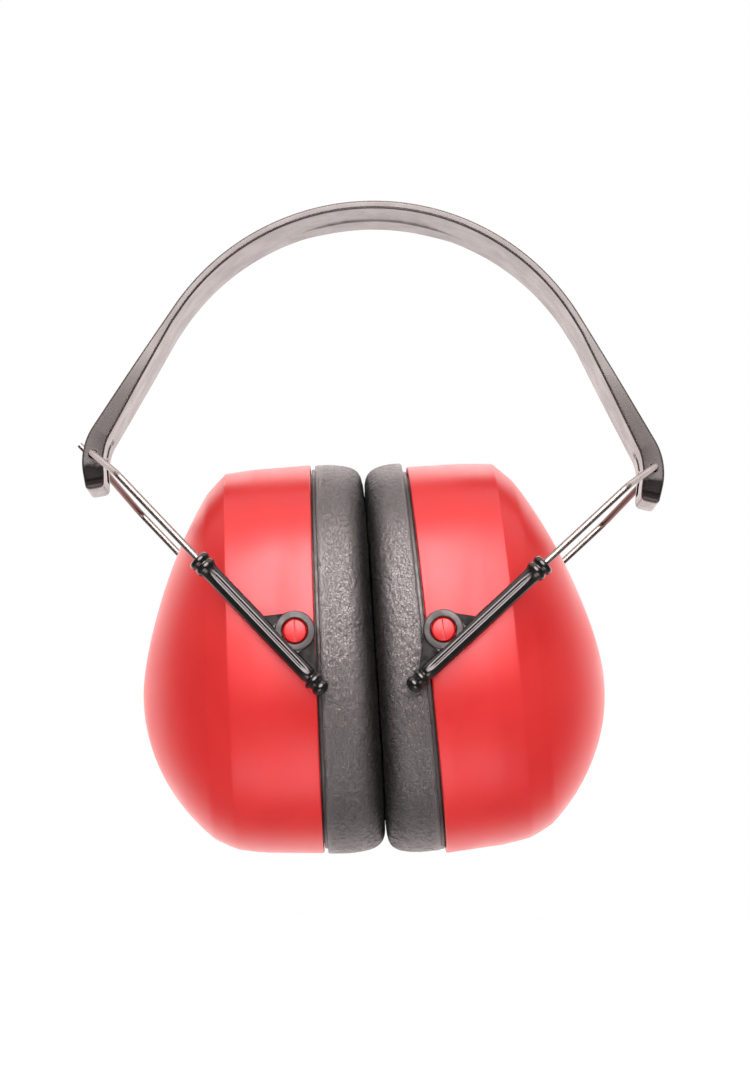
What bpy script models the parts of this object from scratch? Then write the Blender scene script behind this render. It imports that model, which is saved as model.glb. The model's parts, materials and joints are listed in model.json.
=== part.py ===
"""Over-the-head earmuffs: a springy plastic headband, two pivoting wire yokes, four sliding
wire guides and two red cups with ring cushions.

Seen from the front, +X is the viewer's right, +Y away from the viewer and +Z up, so "left" is -X
and "front" is -Y. The origin is the middle of the flat under the crown. Sizes are in millimetres
and angles in degrees; the meshes are built in metres.
"""

import math
from typing import NamedTuple

import bmesh
import bpy
from mathutils import Matrix, Vector

MM = 0.001
SHARP_ANGLE = 35.0  # edges that turn more than this are shaded sharp
ENDS = (("front", -1.0), ("rear", 1.0))  # name, sign of Y


class Side(NamedTuple):
    """How the parts on one side of the head stand."""

    name: str
    sign: float  # sign of X
    wire_angle: float  # wire below horizontal
    guide_mouth: float  # from the pivot, along the wire
    lean: float  # lean of the cup, its foot toward +X
    stud_depth: float  # stud axis outward from the rim plane
    cushion_raise: float  # cushion above the middle of the rim


SIDES = (
    Side("left", -1.0, wire_angle=45.0, guide_mouth=43.0,
         lean=3.5, stud_depth=5.05, cushion_raise=-0.15),
    Side("right", 1.0, wire_angle=44.3, guide_mouth=42.1,
         lean=7.25, stud_depth=4.15, cushion_raise=1.05),
)

# ---- parts shared by the headband, yokes and guides ----
PIVOT_X = 75.0
PIVOT_Z = -68.1
LEG_Y = 43.0  # distance of the yoke legs and the guides from the mid-plane

# ---- cup outline: superellipses given as (half width, half height) ----
OVAL_POWER = 2.25
RIM = (39.0, 52.1)
CUSHION = (39.7, 52.45)
OPENING = (19.5, 32.0)
CUP_MIDDLE = -4.2  # middle of the rim, above the stud axis
WALL = 2.2
SKIRT_DEPTH = 23.0
SKIRT_DRAFT = 1.0  # how much the skirt narrows over its depth
GAP = 0.3  # clearance between neighbouring parts


# ---------------------------------------------------------------------------
# materials
# ---------------------------------------------------------------------------
GUIDE_BLACK = dict(
    name="black_plastic", colour=(0.012, 0.011, 0.011, 1), roughness=0.28, metallic=0.0
)
BAND_BLACK = dict(
    name="band_plastic", colour=(0.018, 0.016, 0.016, 1), roughness=0.32, metallic=0.0
)
STEEL = dict(name="yoke_steel", colour=(0.72, 0.70, 0.68, 1), roughness=0.18, metallic=1.0)
CUP_RED = dict(name="cup_red", colour=(0.74, 0.028, 0.022, 1), roughness=0.38, metallic=0.0)
PLATE_BLACK = dict(
    name="plate_black", colour=(0.015, 0.014, 0.014, 1), roughness=0.45, metallic=0.0
)
COVER_BLACK = dict(
    name="cushion_film", colour=(0.022, 0.019, 0.018, 1), roughness=0.55, metallic=0.0
)
FOAM_GREY = dict(
    name="cushion_foam_grey", colour=(0.16, 0.16, 0.17, 1), roughness=0.95, metallic=0.0
)
FOAM_DARK = dict(
    name="acoustic_foam_dark", colour=(0.035, 0.035, 0.038, 1), roughness=0.97, metallic=0.0
)


def material(name, colour, roughness, metallic):
    """The material of that name, made on first use."""
    found = bpy.data.materials.get(name)
    if found:
        return found
    made = bpy.data.materials.new(name)
    made.use_nodes = True
    made.diffuse_color = colour
    shader = made.node_tree.nodes["Principled BSDF"]
    shader.inputs["Base Color"].default_value = colour
    shader.inputs["Roughness"].default_value = roughness
    shader.inputs["Metallic"].default_value = metallic
    return made


# ---------------------------------------------------------------------------
# mesh helpers
# ---------------------------------------------------------------------------
BOX_FACES = [(0, 3, 2, 1), (4, 5, 6, 7), (0, 1, 5, 4), (1, 2, 6, 5), (2, 3, 7, 6), (3, 0, 4, 7)]


def clear_scene():
    for obj in list(bpy.data.objects):
        bpy.data.objects.remove(obj, do_unlink=True)


def add_object(name, verts, faces, finish=None, smooth=True):
    """An object from vertices in mm, with its normals facing out."""
    mesh = bpy.data.meshes.new(name)
    mesh.from_pydata([tuple(c * MM for c in vert) for vert in verts], [], faces)
    bm = bmesh.new()
    bm.from_mesh(mesh)
    bmesh.ops.recalc_face_normals(bm, faces=bm.faces)
    if bm.calc_volume(signed=True) < 0:
        bmesh.ops.reverse_faces(bm, faces=bm.faces)
    bm.to_mesh(mesh)
    bm.free()
    obj = bpy.data.objects.new(name, mesh)
    bpy.context.scene.collection.objects.link(obj)
    if finish:
        mesh.materials.append(material(**finish))
    if smooth:
        mesh.polygons.foreach_set("use_smooth", [True] * len(mesh.polygons))
        mesh.set_sharp_from_angle(angle=math.radians(SHARP_ANGLE))
    return obj


def boolean(obj, other, operation):
    """Combine obj with a helper object, which is hidden."""
    other.hide_render = True
    other.display_type = "WIRE"
    mod = obj.modifiers.new(other.name, "BOOLEAN")
    mod.operation = operation
    mod.solver = "EXACT"
    mod.object = other


def loop_faces(count, loops, closed=False):
    """Quads between loops of `count` vertices each; the last joins the first if closed."""
    faces = []
    for i in range(loops if closed else loops - 1):
        here, there = i * count, ((i + 1) % loops) * count
        for j in range(count):
            k = (j + 1) % count
            faces.append((here + j, here + k, there + k, there + j))
    return faces


def capped_faces(count, loops):
    """Quads between loops, with a flat face over the first loop and the last."""
    last = (loops - 1) * count
    caps = [tuple(range(count)), tuple(range(last, last + count))]
    return loop_faces(count, loops) + caps


def circle(count, radius, centre=(0.0, 0.0), offset=0.0):
    """Points around a circle, turned on by `offset` segments."""
    angles = [2 * math.pi * (k + offset) / count for k in range(count)]
    return [
        (centre[0] + radius * math.cos(angle), centre[1] + radius * math.sin(angle))
        for angle in angles
    ]


def box(name, centre, size, place=lambda x, y, z: (x, y, z)):
    """A box, its corners mapped through `place`."""
    corners = [
        place(*(middle + sign * length / 2 for middle, sign, length in zip(centre, signs, size)))
        for signs in (
            (i, j, k) for k in (-1, 1) for i, j in ((-1, -1), (1, -1), (1, 1), (-1, 1))
        )
    ]
    return add_object(name, corners, BOX_FACES, smooth=False)


def tube(name, path, radius, sides, finish=None):
    """A round bar swept along the points, turned as little as possible at each."""
    points = [Vector(point) for point in path]
    tangents = []
    for i in range(len(points)):
        before = points[i] - points[i - 1] if i else points[1] - points[0]
        after = points[i + 1] - points[i] if i + 1 < len(points) else before
        tangents.append((before.normalized() + after.normalized()).normalized())
    across = tangents[0].orthogonal().normalized()
    verts = []
    for i, (point, tangent) in enumerate(zip(points, tangents)):
        if i:
            across = tangents[i - 1].rotation_difference(tangent) @ across
        up = tangent.cross(across).normalized()
        verts += [point + across * a + up * b for a, b in circle(sides, radius)]
    return add_object(name, verts, capped_faces(sides, len(points)), finish)


def rounded_path(corners, radii, steps=6):
    """A polyline with its inner corners turned to arcs."""
    points = [Vector(corners[0])]
    for previous, here, following, radius in zip(corners, corners[1:], corners[2:], radii):
        back = (previous - here).normalized()
        onward = (following - here).normalized()
        half_angle = back.angle(onward) / 2
        reach = radius / math.tan(half_angle)
        middle = here + (back + onward).normalized() * (radius / math.sin(half_angle))
        first = here + back * reach - middle
        last = here + onward * reach - middle
        turn = first.rotation_difference(last)
        for k in range(steps + 1):
            points.append(middle + Matrix.Rotation(turn.angle * k / steps, 4, turn.axis) @ first)
    points.append(Vector(corners[-1]))
    return points


def revolved(name, profile, sides, finish=None, tip=None):
    """The (x, radius) profile turned about x, closed flat, or to a point at `tip`."""
    verts = [(x, a, b) for x, radius in profile for a, b in circle(sides, radius, offset=0.5)]
    if tip is None:
        faces = capped_faces(sides, len(profile))
    else:
        last = len(verts) - sides
        apex = len(verts)
        verts.append((tip, 0.0, 0.0))
        faces = loop_faces(sides, len(profile)) + [tuple(range(sides))]
        faces += [(last + k, last + (k + 1) % sides, apex) for k in range(sides)]
    return add_object(name, verts, faces, finish)


def prism(name, outline, y_start, y_end, bevel=0.0):
    """The (x, z) outline drawn out along y, with the y_end edge eased by `bevel`."""
    count = len(outline)
    centre_x = sum(x for x, z in outline) / count
    centre_z = sum(z for x, z in outline) / count
    rings = [(y_start, 1.0), (y_end, 1.0)]  # y, scale
    if bevel:
        reach = max(math.hypot(x - centre_x, z - centre_z) for x, z in outline)
        rings = [(y_start, 1.0), (y_end - bevel, 1.0), (y_end, 1.0 - bevel / reach)]
    verts = [
        (centre_x + (x - centre_x) * scale, y, centre_z + (z - centre_z) * scale)
        for y, scale in rings
        for x, z in outline
    ]
    return add_object(name, verts, capped_faces(count, len(rings)))


def convex_hull(points):
    """The convex hull of 2D points, anticlockwise."""
    points = sorted(set((round(a, 6), round(b, 6)) for a, b in points))

    def half(sequence):
        kept = []
        for point in sequence:
            while len(kept) > 1 and (
                (kept[-1][0] - kept[-2][0]) * (point[1] - kept[-2][1])
                - (kept[-1][1] - kept[-2][1]) * (point[0] - kept[-2][0])
            ) <= 1e-9:
                kept.pop()
            kept.append(point)
        return kept[:-1]

    return half(points) + half(points[::-1])


# ---------------------------------------------------------------------------
# headband: stations are set by s, the length along its outer face from the crown
# ---------------------------------------------------------------------------
CROWN_R = 64.4  # outer radius of the crown arc
CROWN_TOP = 2.2  # outer crown above the flat under it
CROWN_FLAT = 3.5  # half length of that flat
ARC_HALF = 57.6  # degrees of crown arc each side
LEG = 39.0  # straight leg below the arc
END_TURN = 44.0  # degrees from the leg into the end block
END_R = 17.0  # outline radius of that turn
END_DROP = 4.6  # straight foot below the turn
ARC_LENGTH = CROWN_R * math.radians(ARC_HALF)
TURN_LENGTH = END_R * math.radians(END_TURN)
BAND_LENGTH = ARC_LENGTH + LEG + TURN_LENGTH + END_DROP

CROWN_THICKNESS = 2.2
END_THICKNESS = 5.7
THIN_TO = 69.0  # s where the band starts to thicken
THICK_FROM = BAND_LENGTH - 12.0  # s where it has its end thickness
FOOT_TAPER = 0.9  # thickness lost toward the foot
FOOT_TAPER_LENGTH = 6.0
CROWN_HALF_WIDTH = 14.2
END_HALF_WIDTH = 10.9
FOOT_HALF_WIDTH = 9.9
WIDE_TO = 78.0  # s where the band starts to narrow
FOOT_CUT = 2.4  # height of the foot's cut corners
FOOT_ROUND = 1.1  # rounding of the foot's edges
FOOT_ROUND_ANGLES = (30.0, 60.0, 85.0)
BAND_FILLET = 0.65
BAND_STEPS = 28  # steps from the crown's flat to the cut corners

PIVOT_HOLE_R = 1.25
PIVOT_HOLE_HALF = 24.0
POCKET_INWARD = 3.4  # centre of the pocket from the pivot: toward the mid-plane x = 0,
POCKET_REARWARD = 4.6  # to the rear,
POCKET_BELOW = 4.0  # and down
POCKET_SIZE = (3.4, 7.6, 3.6)


def clamp(value):
    return min(max(value, 0.0), 1.0)


def smooth_step(value):
    value = clamp(value)
    return value * value * (3 - 2 * value)


def band_outline(s):
    """(x, z, slope below horizontal in radians) of the outer face on the +X side."""
    slope = min(s / CROWN_R, math.radians(ARC_HALF))
    run = min(max(s - ARC_LENGTH, 0.0), LEG)
    turn = min(max(s - ARC_LENGTH - LEG, 0.0) / END_R, math.radians(END_TURN))
    drop = max(s - ARC_LENGTH - LEG - TURN_LENGTH, 0.0)
    end_slope = slope + turn
    x = CROWN_R * math.sin(slope) + run * math.cos(slope)
    z = CROWN_TOP - CROWN_R + CROWN_R * math.cos(slope) - run * math.sin(slope)
    x += END_R * (math.sin(end_slope) - math.sin(slope)) + drop * math.cos(end_slope)
    z -= END_R * (math.cos(slope) - math.cos(end_slope)) + drop * math.sin(end_slope)
    return x, z, end_slope


def band_section(s):
    """(thickness, half width) at s."""
    thicken = clamp((s - THIN_TO) / (THICK_FROM - THIN_TO))
    narrow = smooth_step((s - WIDE_TO) / (BAND_LENGTH - WIDE_TO))
    taper = max(s - BAND_LENGTH + FOOT_TAPER_LENGTH, 0.0) / FOOT_TAPER_LENGTH
    cut = max(s - BAND_LENGTH + FOOT_CUT, 0.0) / FOOT_CUT
    return (
        CROWN_THICKNESS + (END_THICKNESS - CROWN_THICKNESS) * thicken - FOOT_TAPER * taper**2,
        CROWN_HALF_WIDTH
        + (END_HALF_WIDTH - CROWN_HALF_WIDTH) * narrow
        - (END_HALF_WIDTH - FOOT_HALF_WIDTH) * cut,
    )


def band_stations():
    """(signed s, inset of the section) from the -X foot to the +X foot."""
    span = BAND_LENGTH - FOOT_CUT - CROWN_FLAT
    half = [(CROWN_FLAT + span * i / BAND_STEPS, 0.0) for i in range(BAND_STEPS + 1)]
    round_start = BAND_LENGTH - FOOT_ROUND
    half.append((round_start, 0.0))
    for angle in map(math.radians, FOOT_ROUND_ANGLES):
        half.append(
            (round_start + FOOT_ROUND * math.sin(angle), FOOT_ROUND * (1 - math.cos(angle)))
        )
    return [(-s, inset) for s, inset in reversed(half)] + half


def band_ring(s, inset):
    """The filleted rectangle of the band's section at signed s."""
    x, z, slope = band_outline(abs(s))
    sign = 1.0 if s >= 0 else -1.0
    thickness, half_width = band_section(abs(s))
    inward_x, inward_z = -math.sin(slope), -math.cos(slope)
    if abs(s) <= CROWN_FLAT:  # reach straight down to the flat at z = 0
        inward_x, inward_z = 0.0, -1.0
        thickness = z
    side_y = half_width - inset - BAND_FILLET
    outer = inset + BAND_FILLET
    inner = thickness - inset - BAND_FILLET
    ring = []
    for centre_y, centre_in, start in (
        (side_y, outer, 0.0),
        (-side_y, outer, 90.0),
        (-side_y, inner, 180.0),
        (side_y, inner, 270.0),
    ):
        for k in range(4):
            angle = math.radians(start + 30.0 * k)
            y = centre_y + BAND_FILLET * math.cos(angle)
            depth = centre_in - BAND_FILLET * math.sin(angle)
            ring.append((sign * (x + inward_x * depth), y, z + inward_z * depth))
    return ring


def build_headband():
    rings = [band_ring(s, inset) for s, inset in band_stations()]
    verts = [vert for ring in rings for vert in ring]
    band = add_object("headband", verts, capped_faces(len(rings[0]), len(rings)), BAND_BLACK)
    for side in SIDES:
        pivot_x = side.sign * PIVOT_X
        hole = tube(
            side.name + "_pivot_hole",
            [(pivot_x, -PIVOT_HOLE_HALF, PIVOT_Z), (pivot_x, PIVOT_HOLE_HALF, PIVOT_Z)],
            PIVOT_HOLE_R,
            sides=20,
        )
        boolean(band, hole, "DIFFERENCE")
        pocket = box(
            side.name + "_pocket",
            (side.sign * (PIVOT_X - POCKET_INWARD), POCKET_REARWARD, PIVOT_Z - POCKET_BELOW),
            POCKET_SIZE,
        )
        boolean(band, pocket, "DIFFERENCE")


# ---------------------------------------------------------------------------
# wire yokes
# ---------------------------------------------------------------------------
WIRE_R = 0.9
WIRE_SIDES = 12
BAR_HALF = 14.3  # half length of the bar through the end block
SHOULDER = 13.0  # distance along the leg over which the wire spreads
LEG_LENGTH = 54.0
SHOULDER_BEND_R = 3.0
BAR_BEND_R = 2.6
TAIL = 8.5  # short tail at the rear end of the left bar
TAIL_R = WIRE_R * 0.9
TAIL_OUT = 1.2  # tail beyond the end of the bar
TAIL_START = 1.5  # where the tail starts along the leg, inside the wire


def leg_axes(side):
    """The pivot, the direction down the wire and the one across it toward the eye."""
    angle = math.radians(side.wire_angle)
    pivot = Vector((side.sign * PIVOT_X, 0.0, PIVOT_Z))
    along = Vector((-side.sign * math.cos(angle), 0.0, -math.sin(angle)))
    toward_eye = Vector((-side.sign * math.sin(angle), 0.0, math.cos(angle)))
    return pivot, along, toward_eye


def build_yoke(side):
    pivot, along, _ = leg_axes(side)
    corners = [
        pivot + along * run + Vector((0.0, y, 0.0))
        for y, run in (
            (-LEG_Y, LEG_LENGTH),
            (-LEG_Y, SHOULDER),
            (-BAR_HALF, 0.0),
            (BAR_HALF, 0.0),
            (LEG_Y, SHOULDER),
            (LEG_Y, LEG_LENGTH),
        )
    ]
    radii = (SHOULDER_BEND_R, BAR_BEND_R, BAR_BEND_R, SHOULDER_BEND_R)
    path = rounded_path(corners, radii)
    wire = tube(side.name + "_wire_yoke", path, WIRE_R, WIRE_SIDES, STEEL)
    if side.name == "left":
        start = pivot + Vector((0.0, BAR_HALF + TAIL_OUT, 0.0)) + along * TAIL_START
        end = start - along * (TAIL + TAIL_START)
        tail = tube(side.name + "_tail", [start, end], TAIL_R, WIRE_SIDES)
        boolean(wire, tail, "UNION")


# ---------------------------------------------------------------------------
# wire guides, in their own frame: x along the wire from the mouth, y outward from
# the leg's axis, z toward the eye
# ---------------------------------------------------------------------------
GUIDE_SIDES = 14
GUIDE_R = 2.2
BALL_R = 2.35  # ball at the closed end
BALL_AT = 46.0
BALL_HALF_LENGTH = BALL_R * 0.75
BALL_ANGLES = (-40.0, -15.0, 10.0, 35.0, 60.0, 80.0)
# distance from the mouth, radius
GUIDE_PROFILE = (
    (0.0, 2.35), (0.35, 2.75), (1.5, 2.85), (2.0, 2.45), (2.3, 2.45), (2.7, 2.75),
    (3.9, 2.7), (4.5, 2.3), (5.4, GUIDE_R), (24.0, GUIDE_R), (41.6, GUIDE_R - 0.1),
    (42.2, 1.8), (42.7, 1.8), (43.0, 2.6), (43.8, 2.7), (44.2, 2.0), (44.5, 2.0),
)
BORE_R = 1.25
BORE_DEPTH = 45.8
BORE_FLARE = 0.4  # added radius at the mouth
BORE_FLARE_DEPTH = 0.6

EYE_ALONG = 31.0
EYE_OFF = 5.2
EYE_R = 5.25
EYE_HOLE_R = 3.35
EYE_IN = 40.3  # the eye's inner and outer faces from the mid-plane
EYE_OUT = 44.3
EYE_BEVEL = 0.35
EYE_HOLE_OVERSHOOT = 2.0
WEB_IN = 41.7  # the web's inner and outer faces from the mid-plane
WEB_OUT = 43.5
WEB_R = EYE_R - 0.45
WEB_BACK = 8.9  # the web's foot from the eye, toward the mouth and away from it
WEB_ON = 12.3
WEB_FOOT = 1.45  # the web's foot off the guide's axis


def guide_body(name):
    profile = list(GUIDE_PROFILE)
    for angle in map(math.radians, BALL_ANGLES):
        profile.append(
            (BALL_AT + BALL_HALF_LENGTH * math.sin(angle), BALL_R * math.cos(angle))
        )
    return revolved(name, profile, GUIDE_SIDES, GUIDE_BLACK, tip=BALL_AT + BALL_HALF_LENGTH)


def guide_bore(name):
    flare_r = BORE_R + BORE_FLARE
    profile = [(-1.0, flare_r), (0.0, flare_r), (BORE_FLARE_DEPTH, BORE_R), (BORE_DEPTH, BORE_R)]
    return revolved(name, profile, GUIDE_SIDES)


def guide_web(name, eye):
    feet = [(EYE_ALONG - WEB_BACK, WEB_FOOT), (EYE_ALONG + WEB_ON, WEB_FOOT)]
    outline = convex_hull(circle(20, WEB_R, eye) + feet)
    return prism(name, outline, WEB_IN - LEG_Y, WEB_OUT - LEG_Y)


def build_guide(side, end, end_sign):
    name = f"{side.name}_{end}_wire_guide"
    eye = (EYE_ALONG, EYE_OFF)
    eye_in, eye_out = EYE_IN - LEG_Y, EYE_OUT - LEG_Y
    body = guide_body(name)
    bore = guide_bore(name + "_bore_cut")
    web = guide_web(name + "_web", eye)
    ring = prism(name + "_ring", circle(26, EYE_R, eye), eye_in, eye_out, EYE_BEVEL)
    hole = prism(
        name + "_hole",
        circle(20, EYE_HOLE_R, eye),
        eye_in - EYE_HOLE_OVERSHOOT,
        eye_out + EYE_HOLE_OVERSHOOT,
    )
    boolean(body, web, "UNION")
    boolean(body, ring, "UNION")
    boolean(body, hole, "DIFFERENCE")
    boolean(body, bore, "DIFFERENCE")

    pivot, along, toward_eye = leg_axes(side)
    outward = Vector((0.0, end_sign, 0.0))
    frame = Matrix((along, outward, toward_eye)).transposed().to_4x4()
    frame.translation = (pivot + along * side.guide_mouth + outward * LEG_Y) * MM
    for obj in (body, web, ring, hole, bore):
        obj.data.transform(frame)
        if frame.determinant() < 0:  # a mirrored frame turns the faces inside out
            obj.data.flip_normals()


# ---------------------------------------------------------------------------
# a cup's own frame: depth outward from the rim plane, y, height above the stud axis
# ---------------------------------------------------------------------------
OVAL_SEGMENTS = 44  # around the shell and the plate

# the plane where the cushions press together
MEET_X = 1.3
MEET_Z = -116.5
MEET_LEAN = 5.1
MEET_GAP = 0.2  # from the plane to each cushion's face


def tilted_up(lean):
    """(up, across) unit vectors leaned with the foot toward +X; across points to +X."""
    angle = math.radians(lean)
    sine, cosine = math.sin(angle), math.cos(angle)
    return Vector((-sine, 0.0, cosine)), Vector((cosine, 0.0, sine))


def cup_frame(side):
    """Two functions: (depth, y, height) to a point in mm, and height to the depth of the
    cushion's face."""
    pivot, along, toward_eye = leg_axes(side)
    stud = pivot + along * (side.guide_mouth + EYE_ALONG) + toward_eye * EYE_OFF
    up, across_cup = tilted_up(side.lean)
    outward = across_cup * side.sign
    _, across = tilted_up(MEET_LEAN)
    start = side.sign * MEET_GAP - across.dot(stud - Vector((MEET_X, 0.0, MEET_Z)))

    def place(depth, y, height):
        point = stud + outward * (depth - side.stud_depth) + up * height
        return (point.x, y, point.z)

    def face_depth(height):
        return side.stud_depth + (start - across.dot(up) * height) / across.dot(outward)

    return place, face_depth


def oval_point(phi, size, growth=0.0, middle=0.0):
    """(y, height) on a superellipse grown all round, phi from the top."""
    cosine, sine = math.cos(phi), math.sin(phi)
    half_width, half_height = size
    return (
        (half_width + growth) * math.copysign(abs(sine) ** (2 / OVAL_POWER), sine),
        (half_height + growth) * math.copysign(abs(cosine) ** (2 / OVAL_POWER), cosine)
        + middle,
    )


def even_angles(count):
    """Angles that space points evenly along the rim."""
    fine = 720
    points = [oval_point(2 * math.pi * i / fine, RIM) for i in range(fine + 1)]
    lengths = [0.0]
    for here, there in zip(points, points[1:]):
        lengths.append(lengths[-1] + math.dist(here, there))
    angles, i = [], 0
    for k in range(count):
        want = lengths[-1] * k / count
        while lengths[i + 1] < want:
            i += 1
        share = (want - lengths[i]) / (lengths[i + 1] - lengths[i])
        angles.append(2 * math.pi * (i + share) / fine)
    return angles


def swept_oval(name, section, place, finish, count, middle=CUP_MIDDLE, depth_at=None):
    """A ring with a closed section of (oval size, growth, depth) points.

    With depth_at(share, height), the third value is a share that it turns to a depth.
    """
    angles = even_angles(count)
    verts = []
    for size, growth, depth in section:
        for phi in angles:
            y, height = oval_point(phi, size, growth, middle)
            verts.append(place(depth_at(depth, height) if depth_at else depth, y, height))
    return add_object(name, verts, loop_faces(count, len(section), closed=True), finish)


# ---------------------------------------------------------------------------
# cup shells
# ---------------------------------------------------------------------------
CUP_DEPTH = 47.0
APEX_HEIGHT = -13.4
DOME_STEPS = 10
DOME_SPACING = 1.35  # exponent that crowds the dome's rings toward the skirt
DOME_FULLNESS = 2.05  # exponent of the dome's curve at its foot
DOME_FULLNESS_LOSS = 0.55  # how much lower it is at the top
DOME_SHOULDER = 0.805  # exponent of the dome's rise
STUD_R = 3.05
STUD_END = 44.1  # end of the stud from the mid-plane
STUD_ROOT = RIM[0] - WALL + 0.9
STUD_BEVEL = 0.35
STUD_SIDES = 22
SLOT_WIDTH = 0.55
SLOT_DEPTH = 2.2
SLOT_LENGTH = 12.0
SLOT_OVERSHOOT = 2.0


def dome_point(phi, scale, wall):
    """(depth, y, height) on the skirt's far edge shrunk by `scale` toward the apex."""
    y, height = oval_point(phi, RIM, -wall - SKIRT_DRAFT, CUP_MIDDLE)
    upness = 0.5 + 0.5 * math.cos(phi)
    fullness = DOME_FULLNESS - DOME_FULLNESS_LOSS * upness * upness
    rise = (1.0 - scale**fullness) ** DOME_SHOULDER
    return (
        SKIRT_DEPTH + (CUP_DEPTH - wall - SKIRT_DEPTH) * rise,
        y * scale,
        APEX_HEIGHT + (height - APEX_HEIGHT) * scale,
    )


def shell_rings(wall, angles):
    """Rings of the shell's surface inset by `wall`, from the rim toward the apex."""
    rings = []
    for share in (0.0, 0.5, 1.0):
        growth = -wall - SKIRT_DRAFT * share
        rings.append(
            [(SKIRT_DEPTH * share, *oval_point(phi, RIM, growth, CUP_MIDDLE)) for phi in angles]
        )
    for step in range(1, DOME_STEPS):
        scale = 1.0 - (step / DOME_STEPS) ** DOME_SPACING
        rings.append([dome_point(phi, scale, wall) for phi in angles])
    return rings


def build_stud(name, place, end_sign, stud_depth):
    rings = ((STUD_ROOT, STUD_R), (STUD_END - STUD_BEVEL, STUD_R), (STUD_END, STUD_R - STUD_BEVEL))
    verts = [
        place(stud_depth + a, end_sign * y, b)
        for y, radius in rings
        for a, b in circle(STUD_SIDES, radius)
    ]
    return add_object(name, verts, capped_faces(STUD_SIDES, len(rings)))


def build_slot(name, place, end_sign, stud_depth):
    """The cutter for the upright slot in the stud's end."""
    middle = STUD_END + (SLOT_OVERSHOOT - SLOT_DEPTH) / 2
    size = (SLOT_WIDTH, SLOT_DEPTH + SLOT_OVERSHOOT, SLOT_LENGTH)
    return box(name, (stud_depth, end_sign * middle, 0.0), size, place)


def build_cup(side, place):
    count = OVAL_SEGMENTS
    angles = even_angles(count)
    rings = shell_rings(WALL, angles)[::-1] + shell_rings(0.0, angles)
    points = [point for ring in rings for point in ring]
    inner_apex = len(points)
    outer_apex = inner_apex + 1
    points += [(CUP_DEPTH - WALL, 0.0, APEX_HEIGHT), (CUP_DEPTH, 0.0, APEX_HEIGHT)]
    faces = loop_faces(count, len(rings))
    last = (len(rings) - 1) * count
    for k in range(count):
        following = (k + 1) % count
        faces.append((inner_apex, following, k))
        faces.append((outer_apex, last + k, last + following))
    verts = [place(*point) for point in points]
    shell = add_object(side.name + "_cup_shell", verts, faces, CUP_RED)
    for end, end_sign in ENDS:
        prefix = f"{side.name}_{end}"
        stud = build_stud(prefix + "_stud", place, end_sign, side.stud_depth)
        boolean(shell, stud, "UNION")
        slot = build_slot(prefix + "_slot", place, end_sign, side.stud_depth)
        boolean(shell, slot, "DIFFERENCE")


# ---------------------------------------------------------------------------
# plates, cushions and acoustic foam
# ---------------------------------------------------------------------------
PLATE_THICKNESS = 1.4
PLATE_OVERHANG = 0.15  # plate beyond the shell's rim
PLATE_LIP = 1.0  # plate's opening beyond the cushion's
LOCATOR_INSET = WALL + 0.4  # rim that sits inside the shell's mouth
LOCATOR_THICKNESS = 1.3
LOCATOR_DEPTH = 3.6

SKIN = 1.0
EDGE_R = 7.0  # rounding of the cushion's outer edge
OPENING_R_LESS = 1.5  # how much smaller the rounding at the opening is
BACK_INSET = 0.6  # narrowing of the cushion at its back
BACK_SHARE = 0.18  # share of the thickness over which it narrows
CORE_BACK_SHARE = 0.02  # where the foam core's back lies
CUSHION_SEGMENTS = 40
# nominal thicknesses that turn the skin and the gap into shares of the cushion's thickness
SKIN_SHARE = SKIN / 13.0
GAP_SHARE = GAP / 12.0

FOAM_SEGMENTS = 32
# depth, inset from the skirt's inner face at the rim, middle as a share of CUP_MIDDLE
FOAM_RINGS = (
    (5.0, 3.0, 1.0),
    (6.2, 2.0, 1.0),
    (19.0, 2.0 + SKIRT_DRAFT, 1.0),
    (24.0, 5.8, 0.9),
    (28.0, 12.8, 0.9),
)


def build_plate(side, place):
    """A flat oval ring behind the cushion, with a locating rim inside the shell's mouth."""
    face = -GAP - PLATE_THICKNESS
    locator_inner = -LOCATOR_INSET - LOCATOR_THICKNESS
    section = (
        (RIM, PLATE_OVERHANG, -GAP),
        (RIM, PLATE_OVERHANG, face),
        (OPENING, PLATE_LIP, face),
        (OPENING, PLATE_LIP, -GAP),
        (RIM, locator_inner, -GAP),
        (RIM, locator_inner, LOCATOR_DEPTH),
        (RIM, -LOCATOR_INSET, LOCATOR_DEPTH),
        (RIM, -LOCATOR_INSET, -GAP),
    )
    swept_oval(side.name + "_cushion_plate", section, place, PLATE_BLACK, OVAL_SEGMENTS)


def cushion_section(inset, face_inset, back):
    """The cushion's outline as (oval size, growth, share of thickness), from the back's outer
    edge over the face to the back's inner edge."""
    radius = EDGE_R - inset

    def face_share(angle):
        return 0.5 + (0.5 - face_inset) * math.sin(angle)

    points = [
        (CUSHION, -inset - BACK_INSET, back),
        (CUSHION, -inset, BACK_SHARE),
        (CUSHION, -inset, 0.5),
    ]
    for k in range(1, 6):
        angle = math.radians(18.0 * k)
        points.append((CUSHION, -inset - radius * (1 - math.cos(angle)), face_share(angle)))
    for k in range(5):
        angle = math.radians(90.0 - 22.5 * k)
        rounding = (radius - OPENING_R_LESS) * (1 - math.cos(angle))
        points.append((OPENING, inset + rounding, face_share(angle)))
    points.append((OPENING, inset, back))
    return points


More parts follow.
